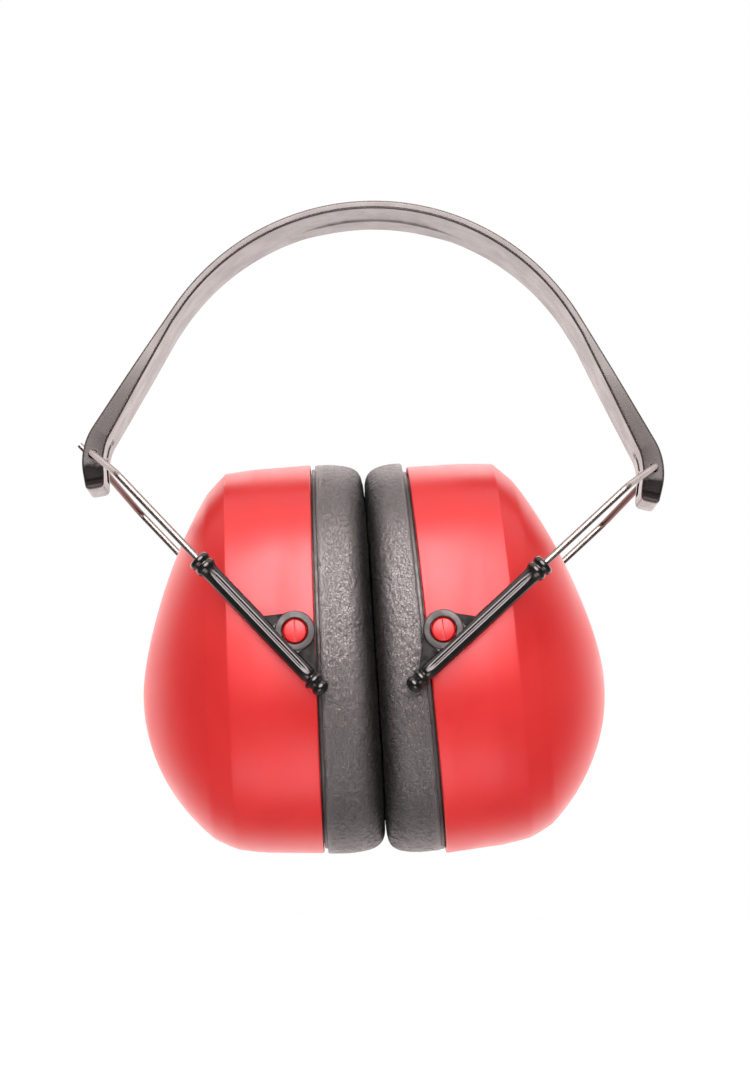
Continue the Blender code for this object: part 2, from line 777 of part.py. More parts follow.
def build_cushion(side, place, face_depth):
    """The film cover, open at the back, and the foam core in it."""
    back = -GAP - PLATE_THICKNESS - GAP
    middle = CUP_MIDDLE + side.cushion_raise

    def depth_at(share, height):
        return back + (face_depth(height) - back) * share

    outside = cushion_section(0.0, 0.0, 0.0)
    inside = cushion_section(SKIN, SKIN_SHARE, 0.0)
    core = cushion_section(SKIN + GAP, SKIN_SHARE + GAP_SHARE, CORE_BACK_SHARE)
    for part, section, finish in (
        ("cover", outside + inside[::-1], COVER_BLACK),
        ("foam", core, FOAM_GREY),
    ):
        name = f"{side.name}_cushion_{part}"
        swept_oval(name, section, place, finish, CUSHION_SEGMENTS, middle, depth_at)


def build_acoustic_foam(side, place):
    """The sound-absorbing pad, a thick oval slab lying in the cup."""
    angles = even_angles(FOAM_SEGMENTS)
    verts = [
        place(depth, *oval_point(phi, RIM, -WALL - inset, CUP_MIDDLE * middle_share))
        for depth, inset, middle_share in FOAM_RINGS
        for phi in angles
    ]
    faces = capped_faces(FOAM_SEGMENTS, len(FOAM_RINGS))
    add_object(side.name + "_acoustic_foam", verts, faces, FOAM_DARK)


def main():
    clear_scene()
    build_headband()
    for side in SIDES:
        build_yoke(side)
        for end, end_sign in ENDS:
            build_guide(side, end, end_sign)
        place, face_depth = cup_frame(side)
        build_cup(side, place)
        build_plate(side, place)
        build_cushion(side, place, face_depth)
        build_acoustic_foam(side, place)


main()
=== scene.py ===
import json
import math

import bmesh
import bpy
import numpy as np
from mathutils import Matrix, Vector, noise


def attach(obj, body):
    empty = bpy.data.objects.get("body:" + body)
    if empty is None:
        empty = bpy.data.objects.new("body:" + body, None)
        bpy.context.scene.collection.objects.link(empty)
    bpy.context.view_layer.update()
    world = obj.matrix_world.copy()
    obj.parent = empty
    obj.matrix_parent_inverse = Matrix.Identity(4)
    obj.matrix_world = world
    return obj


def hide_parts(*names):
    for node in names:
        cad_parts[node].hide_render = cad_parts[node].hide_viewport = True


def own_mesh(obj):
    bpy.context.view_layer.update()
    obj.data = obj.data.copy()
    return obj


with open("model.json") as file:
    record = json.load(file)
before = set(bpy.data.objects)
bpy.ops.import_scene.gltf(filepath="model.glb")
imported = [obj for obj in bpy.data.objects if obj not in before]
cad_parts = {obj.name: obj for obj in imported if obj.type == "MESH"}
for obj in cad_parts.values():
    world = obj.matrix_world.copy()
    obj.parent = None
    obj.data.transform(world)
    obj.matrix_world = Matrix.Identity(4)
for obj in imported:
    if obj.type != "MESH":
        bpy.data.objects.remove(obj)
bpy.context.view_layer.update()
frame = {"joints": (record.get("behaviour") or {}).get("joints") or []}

# Looks for the hearing-protection earmuffs. Every length below is in millimetres and
# meshes are written in metres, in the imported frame.
MM = 0.001

# ---- the same driving sizes as the CAD source ---------------------------------
CROWN_R, CROWN_TOP, ARC_HALF = 64.4, 2.2, 57.6
LEG, END_TURN, END_R, END_DROP = 39.0, 44.0, 17.0, 4.6
BAND_T0, BAND_T1, BAND_THIN_TO = 2.2, 5.7, 69.0
BAND_W0, BAND_W1, BAND_WIDE_TO = 14.2, 10.9, 78.0
FOOT_CUT, FOOT_W, END_ROUND = 2.4, 9.9, 1.1
PIVOT_HOLE_R = 1.25
WIRE_R, BAR_HALF, LEG_Y, SHOULDER, LEG_LENGTH, TAIL = 0.9, 14.3, 43.0, 13.0, 54.0, 8.5
GUIDE_R, BORE_R, BORE_DEPTH = 2.2, 1.25, 45.8
EYE_ALONG, EYE_OFF, EYE_R, EYE_HOLE_R = 31.0, 5.2, 5.25, 3.35
EYE_IN, EYE_OUT, WEB_IN, WEB_OUT = 40.3, 44.3, 41.7, 43.5
CUP_MID_H, RIM_HALF_H, RIM_HALF_W, OVAL = -4.2, 52.1, 39.0, 2.25
SKIRT, SKIRT_DRAFT, DEPTH, APEX_H, WALL = 23.0, 1.0, 47.0, -13.4, 2.2
STUD_R, STUD_END, SLOT_W, SLOT_DEPTH = 3.05, 44.1, 0.55, 2.2
PLATE_T, GAP = 1.4, 0.3
OPEN_HALF_H, OPEN_HALF_W = 32.0, 19.5
CUSHION_HALF_H, CUSHION_HALF_W = 52.45, 39.7
MEET_X, MEET_Z, MEET_LEAN, MEET_GAP = 1.3, -116.5, 5.1, 0.2
# name, sign of X, wire angle, mouth of the guide, cup lean, stud from the rim, cushion raised
SIDES = (
    ("left", -1.0, 45.0, 43.0, 3.5, 5.05, -0.15),
    ("right", 1.0, 44.3, 42.1, 7.25, 4.15, 1.05),
)
JOINTS = {j["name"]: j for j in frame["joints"]}


# ---------------------------------------------------------------------------
# small node-graph helper
# ---------------------------------------------------------------------------
class Graph:
    def __init__(self, tree):
        self.tree = tree
        self.nodes = tree.nodes
        self.links = tree.links

    def add(self, kind, **fields):
        node = self.nodes.new(kind)
        for key, value in fields.items():
            setattr(node, key, value)
        return node

    def put(self, socket, value):
        if isinstance(value, bpy.types.NodeSocket):
            self.links.new(value, socket)
        elif value is not None:
            socket.default_value = value

    def math(self, op, a, b=None, clamp=False):
        node = self.add("ShaderNodeMath", operation=op, use_clamp=clamp)
        self.put(node.inputs[0], a)
        if b is not None:
            self.put(node.inputs[1], b)
        return node.outputs[0]

    def ramp(self, x, x0, x1, y0, y1, how="SMOOTHSTEP"):
        node = self.add("ShaderNodeMapRange", interpolation_type=how)
        for name, value in (
            ("Value", x),
            ("From Min", x0),
            ("From Max", x1),
            ("To Min", y0),
            ("To Max", y1),
        ):
            self.put(node.inputs[name], value)
        return node.outputs[0]

    def dot(self, vector, direction):
        node = self.add("ShaderNodeVectorMath", operation="DOT_PRODUCT")
        self.put(node.inputs[0], vector)
        node.inputs[1].default_value = direction
        return node.outputs["Value"]

    def mix(self, share, a, b, blend="MIX"):
        node = self.add("ShaderNodeMix", data_type="RGBA", blend_type=blend)
        self.put(node.inputs[0], share)
        self.put(node.inputs[6], a)
        self.put(node.inputs[7], b)
        return node.outputs[2]

    def scaled(self, vector, scale):
        node = self.add("ShaderNodeMapping")
        self.put(node.inputs["Vector"], vector)
        node.inputs["Scale"].default_value = scale
        return node.outputs[0]

    def noise(self, vector, scale, detail=3.0, rough=0.5, distortion=0.0):
        node = self.add("ShaderNodeTexNoise")
        self.put(node.inputs["Vector"], vector)
        node.inputs["Scale"].default_value = scale
        node.inputs["Detail"].default_value = detail
        node.inputs["Roughness"].default_value = rough
        node.inputs["Distortion"].default_value = distortion
        return node.outputs["Fac"]

    def cells(self, vector, scale, feature="F1"):
        node = self.add("ShaderNodeTexVoronoi", feature=feature)
        self.put(node.inputs["Vector"], vector)
        node.inputs["Scale"].default_value = scale
        return node.outputs["Distance"]

    def bump(self, height, distance, strength=1.0, normal=None):
        node = self.add("ShaderNodeBump")
        node.inputs["Strength"].default_value = strength
        node.inputs["Distance"].default_value = distance
        self.put(node.inputs["Height"], height)
        if normal is not None:
            self.put(node.inputs["Normal"], normal)
        return node.outputs[0]


def new_material(name, base, rough, metal=0.0, ior=1.5):
    made = bpy.data.materials.new(name)
    made.use_nodes = True
    made.diffuse_color = (*base, 1.0)
    graph = Graph(made.node_tree)
    shader = made.node_tree.nodes["Principled BSDF"]
    shader.inputs["Base Color"].default_value = (*base, 1.0)
    shader.inputs["Roughness"].default_value = rough
    shader.inputs["Metallic"].default_value = metal
    shader.inputs["IOR"].default_value = ior
    where = graph.add("ShaderNodeTexCoord").outputs["Object"]
    return made, graph, shader, where


def grey(value):
    return (value, value, value, 1.0)


def cup_red():
    base = (0.72, 0.012, 0.010)
    made, g, s, at = new_material("moulded_red", base, 0.36)
    # satin injection-moulded shell: a barely seen spark-eroded grain, cloudy sheen and faint handling marks
    grain = g.noise(at, 5200.0, 2.0, 0.6)
    cloud = g.noise(at, 55.0, 3.0, 0.55)
    flow = g.noise(g.scaled(at, (180.0, 30.0, 30.0)), 1.0, 3.0, 0.5, 0.4)
    scuff = g.ramp(g.noise(g.scaled(at, (260.0, 900.0, 2400.0)), 1.0, 4.0, 0.6), 0.66, 0.8, 0.0, 1.0)
    tone = g.mix(g.ramp(cloud, 0.3, 0.7, 0.0, 1.0), (0.705, 0.0105, 0.009, 1), (0.745, 0.0135, 0.011, 1))
    edge = g.add("ShaderNodeNewGeometry").outputs["Pointiness"]
    worn = g.ramp(edge, 0.53, 0.62, 0.0, 0.22)
    g.put(s.inputs["Base Color"], g.mix(worn, tone, (0.80, 0.07, 0.06, 1)))
    rough = g.math("ADD", g.ramp(cloud, 0.25, 0.75, 0.33, 0.40), g.math("MULTIPLY", scuff, 0.05))
    g.put(s.inputs["Roughness"], g.math("ADD", rough, g.ramp(flow, 0.3, 0.7, -0.015, 0.02)))
    s.inputs["Specular IOR Level"].default_value = 0.5
    s.inputs["Specular Tint"].default_value = (0.84, 1.0, 1.08, 1.0)
    fine = g.bump(grain, 0.00002, 0.5)
    g.put(s.inputs["Normal"], g.bump(flow, 0.00005, 0.25, fine))
    return made


def band_black():
    made, g, s, at = new_material("moulded_band_black", (0.05, 0.044, 0.042), 0.31)
    streak = g.noise(g.scaled(at, (90.0, 1500.0, 90.0)), 1.0, 4.0, 0.6, 0.5)
    cloud = g.noise(at, 130.0, 3.0, 0.6)
    g.put(
        s.inputs["Base Color"],
        g.mix(g.ramp(streak, 0.3, 0.7, 0.0, 1.0), (0.046, 0.040, 0.038, 1), (0.056, 0.048, 0.046, 1)),
    )
    g.put(s.inputs["Roughness"], g.ramp(cloud, 0.3, 0.7, 0.29, 0.36))
    # painted shade: below the wire, the front of each end block is painted near black and its reflection turned down,
    # standing in for the shadow there; the outer side is painted a little lighter
    height = g.dot(at, (0.0, 0.0, 1.0))
    wide = g.math("ABSOLUTE", g.dot(at, (1.0, 0.0, 0.0)))
    ahead = g.dot(g.add("ShaderNodeNewGeometry").outputs["Normal"], (0.0, -1.0, 0.0))
    shade_edge_height = g.math("ADD", height, g.ramp(g.noise(at, 320.0, 2.0), 0.3, 0.7, -0.0007, 0.0007))
    painted_shade_front = g.math("MULTIPLY", g.ramp(shade_edge_height, -0.0716, -0.0698, 1.0, 0.0), g.ramp(ahead, 0.75, 0.95, 0.0, 1.0))
    painted_shade_mask = g.math("MULTIPLY", painted_shade_front, g.ramp(wide, 0.0768, 0.0778, 1.0, 0.72))
    tone = s.inputs["Base Color"].links[0].from_socket
    # painted shade: near-black colour and less reflection where the shade mask is set
    g.put(s.inputs["Base Color"], g.mix(painted_shade_mask, tone, (0.012, 0.010, 0.009, 1)))
    g.put(s.inputs["Specular IOR Level"], g.ramp(painted_shade_mask, 0.0, 1.0, 0.52, 0.05, "LINEAR"))
    specks = g.ramp(g.cells(at, 210.0), 0.0, 0.07, 1.0, 0.0)
    low = g.bump(cloud, 0.00006, 0.3)
    g.put(s.inputs["Normal"], g.bump(specks, 0.00004, 0.2, low))
    return made


def gloss_black(name="moulded_guide_black", tone=0.008, rough=0.15, grain_depth=0.00001):
    made, g, s, at = new_material(name, (tone, tone * 0.95, tone * 0.92), rough)
    cloud = g.noise(at, 420.0, 3.0, 0.6)
    grain = g.noise(at, 3600.0, 3.0, 0.6)
    g.put(
        s.inputs["Base Color"],
        g.mix(g.ramp(cloud, 0.3, 0.7, 0.0, 1.0), (tone * 0.8, tone * 0.76, tone * 0.74, 1), (tone * 1.5, tone * 1.4, tone * 1.36, 1)),
    )
    g.put(s.inputs["Roughness"], g.ramp(cloud, 0.3, 0.7, rough * 0.8, rough * 1.35))
    low = g.bump(cloud, 0.00004, 0.25)
    g.put(s.inputs["Normal"], g.bump(grain, grain_depth, 0.6, low))
    return made


def steel():
    made, g, s, at = new_material("drawn_steel", (0.17, 0.155, 0.147), 0.38, 1.0)
    drawn = g.noise(g.scaled(at, (160.0, 160.0, 160.0)), 1.0, 2.0, 0.5, 0.0)
    spots = g.noise(at, 900.0, 3.0, 0.6)
    bright = g.mix(g.ramp(spots, 0.35, 0.75, 0.0, 1.0), (0.185, 0.168, 0.158, 1), (0.145, 0.130, 0.122, 1))
    # painted reflection: the undersides of the rear shoulder bends get a dark red colour standing in for their
    # reflection of the red shells below
    back = g.dot(at, (0.0, 1.0, 0.0))
    under = g.dot(g.add("ShaderNodeNewGeometry").outputs["Normal"], (0.0, 0.0, 1.0))
    painted_red_reflection = g.math("MULTIPLY", g.ramp(back, 0.0160, 0.0185, 0.0, 0.9), g.ramp(back, 0.0405, 0.0420, 1.0, 0.0))
    painted_red_reflection = g.math("MULTIPLY", painted_red_reflection, g.ramp(under, 0.1, 0.5, 1.0, 0.0))
    g.put(s.inputs["Base Color"], g.mix(painted_red_reflection, bright, (0.10, 0.026, 0.020, 1)))
    g.put(s.inputs["Roughness"], g.ramp(drawn, 0.3, 0.7, 0.34, 0.40))
    return made


def film_black():
    made, g, s, at = new_material("cushion_leather_film", (0.020, 0.017, 0.016), 0.38)
    # fine leather grain: small cells with sunk edges over soft mottling; the folds are in the mesh
    warp = g.add("ShaderNodeVectorMath", operation="ADD")
    wob = g.add("ShaderNodeTexNoise")
    g.put(wob.inputs["Vector"], at)
    wob.inputs["Scale"].default_value = 700.0
    shift = g.add("ShaderNodeVectorMath", operation="SCALE")
    g.put(shift.inputs[0], wob.outputs["Color"])
    shift.inputs["Scale"].default_value = 0.0009
    g.put(warp.inputs[0], at)
    g.put(warp.inputs[1], shift.outputs[0])
    cell = g.cells(warp.outputs[0], 1500.0, "DISTANCE_TO_EDGE")
    small = g.cells(warp.outputs[0], 3300.0, "DISTANCE_TO_EDGE")
    mottle = g.noise(at, 260.0, 4.0, 0.6)
    pore = g.ramp(cell, 0.0, 0.10, 0.0, 1.0)
    g.put(
        s.inputs["Base Color"],
        g.mix(g.math("MULTIPLY", pore, g.ramp(mottle, 0.3, 0.7, 0.55, 1.0)), (0.007, 0.006, 0.0056, 1), (0.018, 0.0155, 0.0145, 1)),
    )
    g.put(s.inputs["Roughness"], g.math("ADD", g.ramp(mottle, 0.3, 0.7, 0.33, 0.41), g.ramp(cell, 0.0, 0.08, 0.12, 0.0)))
    # painted shade: where open_to_light falls to nothing, by the pressed faces, the reflection is turned down and the
    # colour painted near black
    lit = g.add("ShaderNodeAttribute", attribute_name="open_to_light").outputs["Fac"]
    g.put(s.inputs["Specular IOR Level"], g.ramp(lit, 0.0, 1.0, 0.10, 0.95, "LINEAR"))
    tone = s.inputs["Base Color"].links[0].from_socket
    g.put(s.inputs["Base Color"], g.mix(lit, (0.006, 0.005, 0.005, 1), tone))
    s.inputs["Sheen Weight"].default_value = 0.04
    s.inputs["Sheen Roughness"].default_value = 0.4
    low = g.bump(pore, 0.00018, 0.6)
    low = g.bump(g.ramp(small, 0.0, 0.12, 0.0, 1.0), 0.00004, 0.5, low)
    g.put(s.inputs["Normal"], g.bump(mottle, 0.00020, 0.3, low))
    return made


def foam(name, tone, scale):
    made, g, s, at = new_material(name, (tone, tone, tone * 1.05), 0.96)
    pores = g.cells(at, scale)
    fine = g.cells(at, scale * 2.3)
    open_cell = g.ramp(pores, 0.12, 0.45, 1.0, 0.0)
    g.put(s.inputs["Base Color"], g.mix(open_cell, grey(tone * 1.25), grey(tone * 0.25)))
    low = g.bump(pores, 0.0006, 1.0)
    g.put(s.inputs["Normal"], g.bump(fine, 0.0003, 0.8, low))
    return made


def quieter(made, level):
    made.node_tree.nodes["Principled BSDF"].inputs["Specular IOR Level"].default_value = level
    return made


M = {
    "cup": cup_red(),
    "band": band_black(),
    "guide": gloss_black(),
    "lug": gloss_black("moulded_lug_black", 0.013, 0.46),
    "web": gloss_black("moulded_web_black", 0.007, 0.6),
    "plate": gloss_black("moulded_plate_black", 0.022, 0.42),
    "steel": steel(),
    "film": film_black(),
    "foam": foam("acoustic_foam", 0.045, 1100.0),
    "foam_ring": foam("cushion_foam", 0.16, 1400.0),
}


quieter(M["guide"], 0.4)
quieter(M["lug"], 0.5)
quieter(M["web"], 0.16)


# ---------------------------------------------------------------------------
# mesh helpers
# ---------------------------------------------------------------------------
def add_mesh(name, verts, faces, mat=None, sharp=38.0):
    mesh = bpy.data.meshes.new(name)
    mesh.from_pydata([(v[0] * MM, v[1] * MM, v[2] * MM) for v in verts], [], faces)
    bm = bmesh.new()
    bm.from_mesh(mesh)
    bmesh.ops.recalc_face_normals(bm, faces=bm.faces)
    if bm.calc_volume(signed=True) < 0:
        bmesh.ops.reverse_faces(bm, faces=bm.faces)
    bm.to_mesh(mesh)
    bm.free()
    obj = bpy.data.objects.new(name, mesh)
    bpy.context.scene.collection.objects.link(obj)
    if mat:
        mesh.materials.append(mat)
    smooth(mesh, sharp)
    return obj


def smooth(mesh, sharp):
    mesh.polygons.foreach_set("use_smooth", [True] * len(mesh.polygons))
    if sharp < 179:
        mesh.set_sharp_from_angle(angle=math.radians(sharp))


def evaluated(obj):
    """obj's mesh with its modifiers applied."""
    bpy.context.view_layer.update()
    graph = bpy.context.evaluated_depsgraph_get()
    mesh = bpy.data.meshes.new_from_object(obj.evaluated_get(graph))
    obj.modifiers.clear()
    old = obj.data
    obj.data = mesh
    bpy.data.meshes.remove(old)
    return obj


def cut_and_join(obj, steps, sharp=38.0):
    for other, how in steps:
        mod = obj.modifiers.new(other.name, "BOOLEAN")
        mod.operation = how
        mod.solver = "EXACT"
        mod.object = other
    evaluated(obj)
    for other, _ in steps:
        bpy.data.objects.remove(other, do_unlink=True)
    smooth(obj.data, sharp)
    return obj


def rings(count, loops, closed=False):
    faces = []
    for i in range(loops if closed else loops - 1):
        a, b = i * count, ((i + 1) % loops) * count
        for j in range(count):
            k = (j + 1) % count
            faces.append((a + j, a + k, b + k, b + j))
    return faces


def sweep(name, path, radius, sides, mat=None, cap_round=False):
    points = [Vector(p) for p in path]
    tangents = []
    for i in range(len(points)):
        before = points[i] - points[i - 1] if i else points[1] - points[0]
        after = points[i + 1] - points[i] if i + 1 < len(points) else before
        tangents.append((before.normalized() + after.normalized()).normalized())
    side = tangents[0].orthogonal().normalized()
    verts = []
    for i, (point, tangent) in enumerate(zip(points, tangents)):
        if i:
            side = tangents[i - 1].rotation_difference(tangent) @ side
        up = tangent.cross(side).normalized()
        r = radius
        if cap_round and i in (0, len(points) - 1):
            r = radius * 0.75
        for k in range(sides):
            a = 2 * math.pi * k / sides
            verts.append(point + r * (side * math.cos(a) + up * math.sin(a)))
    faces = rings(sides, len(points))
    faces.append(tuple(range(sides)))
    faces.append(tuple(range(len(verts) - sides, len(verts))))
    return add_mesh(name, verts, faces, mat, 50.0)


def rounded_path(corners, radii, steps=14):
    points = [Vector(corners[0])]
    for i in range(1, len(corners) - 1):
        here = Vector(corners[i])
        back = (Vector(corners[i - 1]) - here).normalized()
        on = (Vector(corners[i + 1]) - here).normalized()
        angle = back.angle(on)
        reach = radii[i - 1] / math.tan(angle / 2)
        middle = here + (back + on).normalized() * (radii[i - 1] / math.sin(angle / 2))
        first, last = here + back * reach - middle, here + on * reach - middle
        turn = first.rotation_difference(last)
        for k in range(steps + 1):
            points.append(middle + Matrix.Rotation(turn.angle * k / steps, 4, turn.axis) @ first)
    points.append(Vector(corners[-1]))
    return points


def stand_in(obj, body, slot, *nodes):
    """The new piece takes a CAD node's place on its body."""
    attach(obj, body)
    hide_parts(*nodes)
    return obj


def ease(t):
    t = min(max(t, 0.0), 1.0)
    return t * t * (3 - 2 * t)


# ---------------------------------------------------------------------------
# headband
# ---------------------------------------------------------------------------
BAND_ARC = CROWN_R * math.radians(ARC_HALF)
BAND_TOTAL = BAND_ARC + LEG + END_R * math.radians(END_TURN) + END_DROP


def band_outline(s):
    if s <= BAND_ARC:
        a = s / CROWN_R
        return CROWN_R * math.sin(a), CROWN_TOP - CROWN_R + CROWN_R * math.cos(a), a
    a = math.radians(ARC_HALF)
    x = CROWN_R * math.sin(a)
    z = CROWN_TOP - CROWN_R + CROWN_R * math.cos(a)
    run = min(s - BAND_ARC, LEG)
    x, z = x + run * math.cos(a), z - run * math.sin(a)
    if s <= BAND_ARC + LEG:
        return x, z, a
    turn = min((s - BAND_ARC - LEG) / END_R, math.radians(END_TURN))
    drop = max(s - BAND_ARC - LEG - END_R * math.radians(END_TURN), 0.0)
    b = a + turn
    return (
        x + END_R * (math.sin(b) - math.sin(a)) + drop * math.cos(b),
        z - END_R * (math.cos(a) - math.cos(b)) - drop * math.sin(b),
        b,
    )


def band_section(s):
    t = min(max((s - BAND_THIN_TO) / (BAND_TOTAL - 12.0 - BAND_THIN_TO), 0.0), 1.0)
    foot = max(s - BAND_TOTAL + 6.0, 0.0) / 6.0
    cut = max(s - BAND_TOTAL + FOOT_CUT, 0.0) / FOOT_CUT
    return (
        BAND_T0 + (BAND_T1 - BAND_T0) * t - 0.9 * foot * foot,
        BAND_W0
        + (BAND_W1 - BAND_W0) * ease((s - BAND_WIDE_TO) / (BAND_TOTAL - BAND_WIDE_TO))
        - (BAND_W1 - FOOT_W) * cut,
    )


def band_relief(s, y, half):
    """How far the inner face stands out: the long lens on the crown and the snap tab by each end."""
    a = abs(s)
    line = 1.4 + 0.005 * (s + 2.0) ** 2
    out = 0.36 * ease((y - line) / 0.45 + 0.5) * (1.0 - ease((a - 13.0) / 12.0))
    # the tab: a tongue with a rounded top between two slits
    along, across = (a - 107.2) / 3.2, (y - 1.2) / 2.0
    edge = max(abs(along), abs(across))
    if along < 0:
        edge = math.hypot(along, across) if abs(across) < 1 else max(edge, 1.0)
    out += 0.3 * (1.0 - ease((edge - 0.84) / 0.22))
    out -= 0.3 * ease((edge - 0.98) / 0.14) * (1.0 - ease((edge - 1.24) / 0.14))
    return out


def build_band():
    r = 0.62
    steps = []
    s = 0.0
    while s < BAND_TOTAL - END_ROUND:
        steps.append((s, 0.0))
        s += 0.9 if s < 95.0 else 0.42
    steps.append((BAND_TOTAL - END_ROUND, 0.0))
    for a in (18.0, 36.0, 54.0, 72.0, 86.0):
        t = math.radians(a)
        steps.append((BAND_TOTAL - END_ROUND + END_ROUND * math.sin(t), END_ROUND * (1 - math.cos(t))))
    stations = [(-q, i) for q, i in reversed(steps[1:])] + steps
    across = 58
    verts, count = [], 0
    for s, inset in stations:
        x, z, a = band_outline(abs(s))
        side = 1.0 if s >= 0 else -1.0
        thick, wide = band_section(abs(s))
        wide -= inset
        top, low = inset + r, thick - inset - r
        ring = []
        for k in range(7):  # outer face and its front edge, toward -y
            t = math.radians(90.0 + 15.0 * k)
            if k == 0:
                ring += [((wide - r) * (1 - 2 * q / 12.0), inset) for q in range(12)]
            ring.append((-wide + r + r * math.cos(t), top - r * math.sin(t)))
        for k in range(1, 4):
            ring.append((-wide, top + (low - top) * k / 4.0))
        for k in range(7):
            t = math.radians(180.0 + 15.0 * k)
            ring.append((-wide + r + r * math.cos(t), low - r * math.sin(t)))
        for q in range(1, across):
            y = -wide + r + (wide - r) * 2 * q / across
            ring.append((y, thick - inset + band_relief(s, y, wide)))
        for k in range(7):
            t = math.radians(270.0 + 15.0 * k)
            ring.append((wide - r + r * math.cos(t), low - r * math.sin(t)))
        for k in range(1, 4):
            ring.append((wide, low + (top - low) * k / 4.0))
        for k in range(6):
            t = math.radians(15.0 * k)
            ring.append((wide - r + r * math.cos(t), top - r * math.sin(t)))
        count = len(ring)
        for y, n in ring:
            verts.append((side * (x - math.sin(a) * n), y, z - math.cos(a) * n))
    faces = rings(count, len(stations))
    faces.append(tuple(range(count)))
    faces.append(tuple(range(len(verts) - count, len(verts))))
    band = add_mesh("band_bow", verts, faces, M["band"], 60.0)
    cuts = []
    for side in (-1.0, 1.0):
        pos = [c / MM for c in JOINTS["left_yoke_swing" if side < 0 else "right_yoke_swing"]["pos_m"]]
        cuts.append(
            (sweep("hole%+d" % side, [(pos[0], y, pos[2]) for y in (-24.0, 24.0)], PIVOT_HOLE_R, 32), "DIFFERENCE")
        )
        pos_x, pos_z = abs(pos[0]), pos[2]
        cx, cy, cz, hx, hy, hz = pos[0] - side * 3.4, 4.6, pos[2] - 4.0, 1.7, 3.8, 1.8
        corners = [(cx + i * hx, cy + j * hy, cz + k * hz) for k in (-1, 1) for i, j in ((-1, -1), (1, -1), (1, 1), (-1, 1))]
        quads = [(0, 3, 2, 1), (4, 5, 6, 7), (0, 1, 5, 4), (1, 2, 6, 5), (2, 3, 7, 6), (3, 0, 4, 7)]
        cuts.append((add_mesh("pocket%+d" % side, corners, quads), "DIFFERENCE"))
    cut_and_join(band, cuts, 60.0)
    # painted shade: the pocket's walls and floor take the near-black, dull web material, darker than the band around
    # them
    band.data.materials.append(M["web"])
    for face in band.data.polygons:
        x, y, z = face.center / MM
        if abs(abs(x) - pos_x + 3.4) < 1.75 and abs(y - 4.6) < 3.85 and abs(z - pos_z + 4.0) < 1.85 and (
            abs(face.normal.x) < 0.3 or abs(abs(x) - pos_x + 1.7) < 0.1
        ):
            face.material_index = 1
    return stand_in(band, "headband", "band_plastic", "headband")


# ---------------------------------------------------------------------------
# wire yokes
# ---------------------------------------------------------------------------
def leg_direction(side, angle):
    a = math.radians(angle)
    return Vector((-side * math.cos(a), 0.0, -math.sin(a)))


def pivot_of(name):
    return Vector(JOINTS[name + "_yoke_swing"]["pos_m"]) / MM


def build_yoke(name, side, angle):
    pivot = pivot_of(name)
    along = leg_direction(side, angle)
    corners = []
    for y, order in ((-1.0, (LEG_LENGTH, SHOULDER)), (1.0, (SHOULDER, LEG_LENGTH))):
        bar = pivot + Vector((0.0, y * BAR_HALF, 0.0))
        spread = [pivot + along * r + Vector((0.0, y * LEG_Y, 0.0)) for r in order]
        corners += spread + [bar] if y < 0 else [bar] + spread
    wire = sweep(name + "_yoke_wire", rounded_path(corners, (3.0, 2.6, 2.6, 3.0)), WIRE_R, 28, M["steel"])
    if side < 0:
        start = pivot + Vector((0.0, BAR_HALF + 1.2, 0.0)) + along * 1.5
        end = start - along * (TAIL + 1.5)
        tail = sweep(name + "_tail", [start, end - (start - end).normalized() * -0.25, end], WIRE_R * 0.9, 28, None, False)
        cut_and_join(wire, [(tail, "UNION")], 50.0)
    return stand_in(wire, name + "_yoke", "yoke_steel", name + "_wire_yoke")


# ---------------------------------------------------------------------------
# wire guides
# ---------------------------------------------------------------------------
def guide_outside():
    raw = [
        (0.0, 2.2), (0.12, 2.5), (0.4, 2.76), (0.9, 2.88), (1.4, 2.84), (1.75, 2.62), (2.0, 2.44),
        (2.25, 2.42), (2.5, 2.6), (2.8, 2.78), (3.3, 2.8), (3.8, 2.7), (4.15, 2.44), (4.6, 2.3),
        (5.4, GUIDE_R + 0.02),
    ]
    raw += [(5.4 + 36.0 * k / 24, GUIDE_R - 0.1 * max(0, k - 12) / 12) for k in range(1, 25)]
    raw += [
        (41.8, 1.95), (42.1, 1.8), (42.5, 1.8), (42.75, 2.2), (42.95, 2.55), (43.3, 2.72), (43.7, 2.7),
        (43.95, 2.4), (44.15, 2.05), (44.45, 2.0),
    ]
    ball_r, ball_at = 2.35, 46.0
    for t in range(-36, 85, 12):
        a = math.radians(t)
        raw.append((ball_at + ball_r * 0.75 * math.sin(a), ball_r * math.cos(a)))
    return raw, ball_at + ball_r * 0.75


def turned(name, profile, sides, tip=None, mat=None, shape=None):
    verts = []
    for x, r in profile:
        for k in range(sides):
            a = 2 * math.pi * (k + 0.5) / sides
            q = r + (shape(x, a) if shape else 0.0)
            verts.append((x, q * math.cos(a), q * math.sin(a)))
    faces = rings(sides, len(profile))
    faces.append(tuple(range(sides)))
    last = len(verts) - sides
    if tip is None:
        faces.append(tuple(range(last, len(verts))))
    else:
        verts.append((tip, 0.0, 0.0))
        faces += [(last + k, last + (k + 1) % sides, len(verts) - 1) for k in range(sides)]
    return add_mesh(name, verts, faces, mat, 60.0)


def tube_shape(x, a):
    """Mould split lines and a shallow flute down the plain part of the tube; the front is at a = 0."""
    if not 5.6 < x < 41.2:
        return 0.0
    fade = ease((x - 5.6) / 1.2) * ease((41.2 - x) / 1.2)
    out = 0.0
    for centre, wide, deep in ((0.10, 0.23, -0.32), (-0.62, 0.10, -0.10), (math.pi, 0.1, 0.05)):
        d = (a - centre + math.pi) % (2 * math.pi) - math.pi
        out += deep * math.exp(-((d / wide) ** 2))
    return out * fade


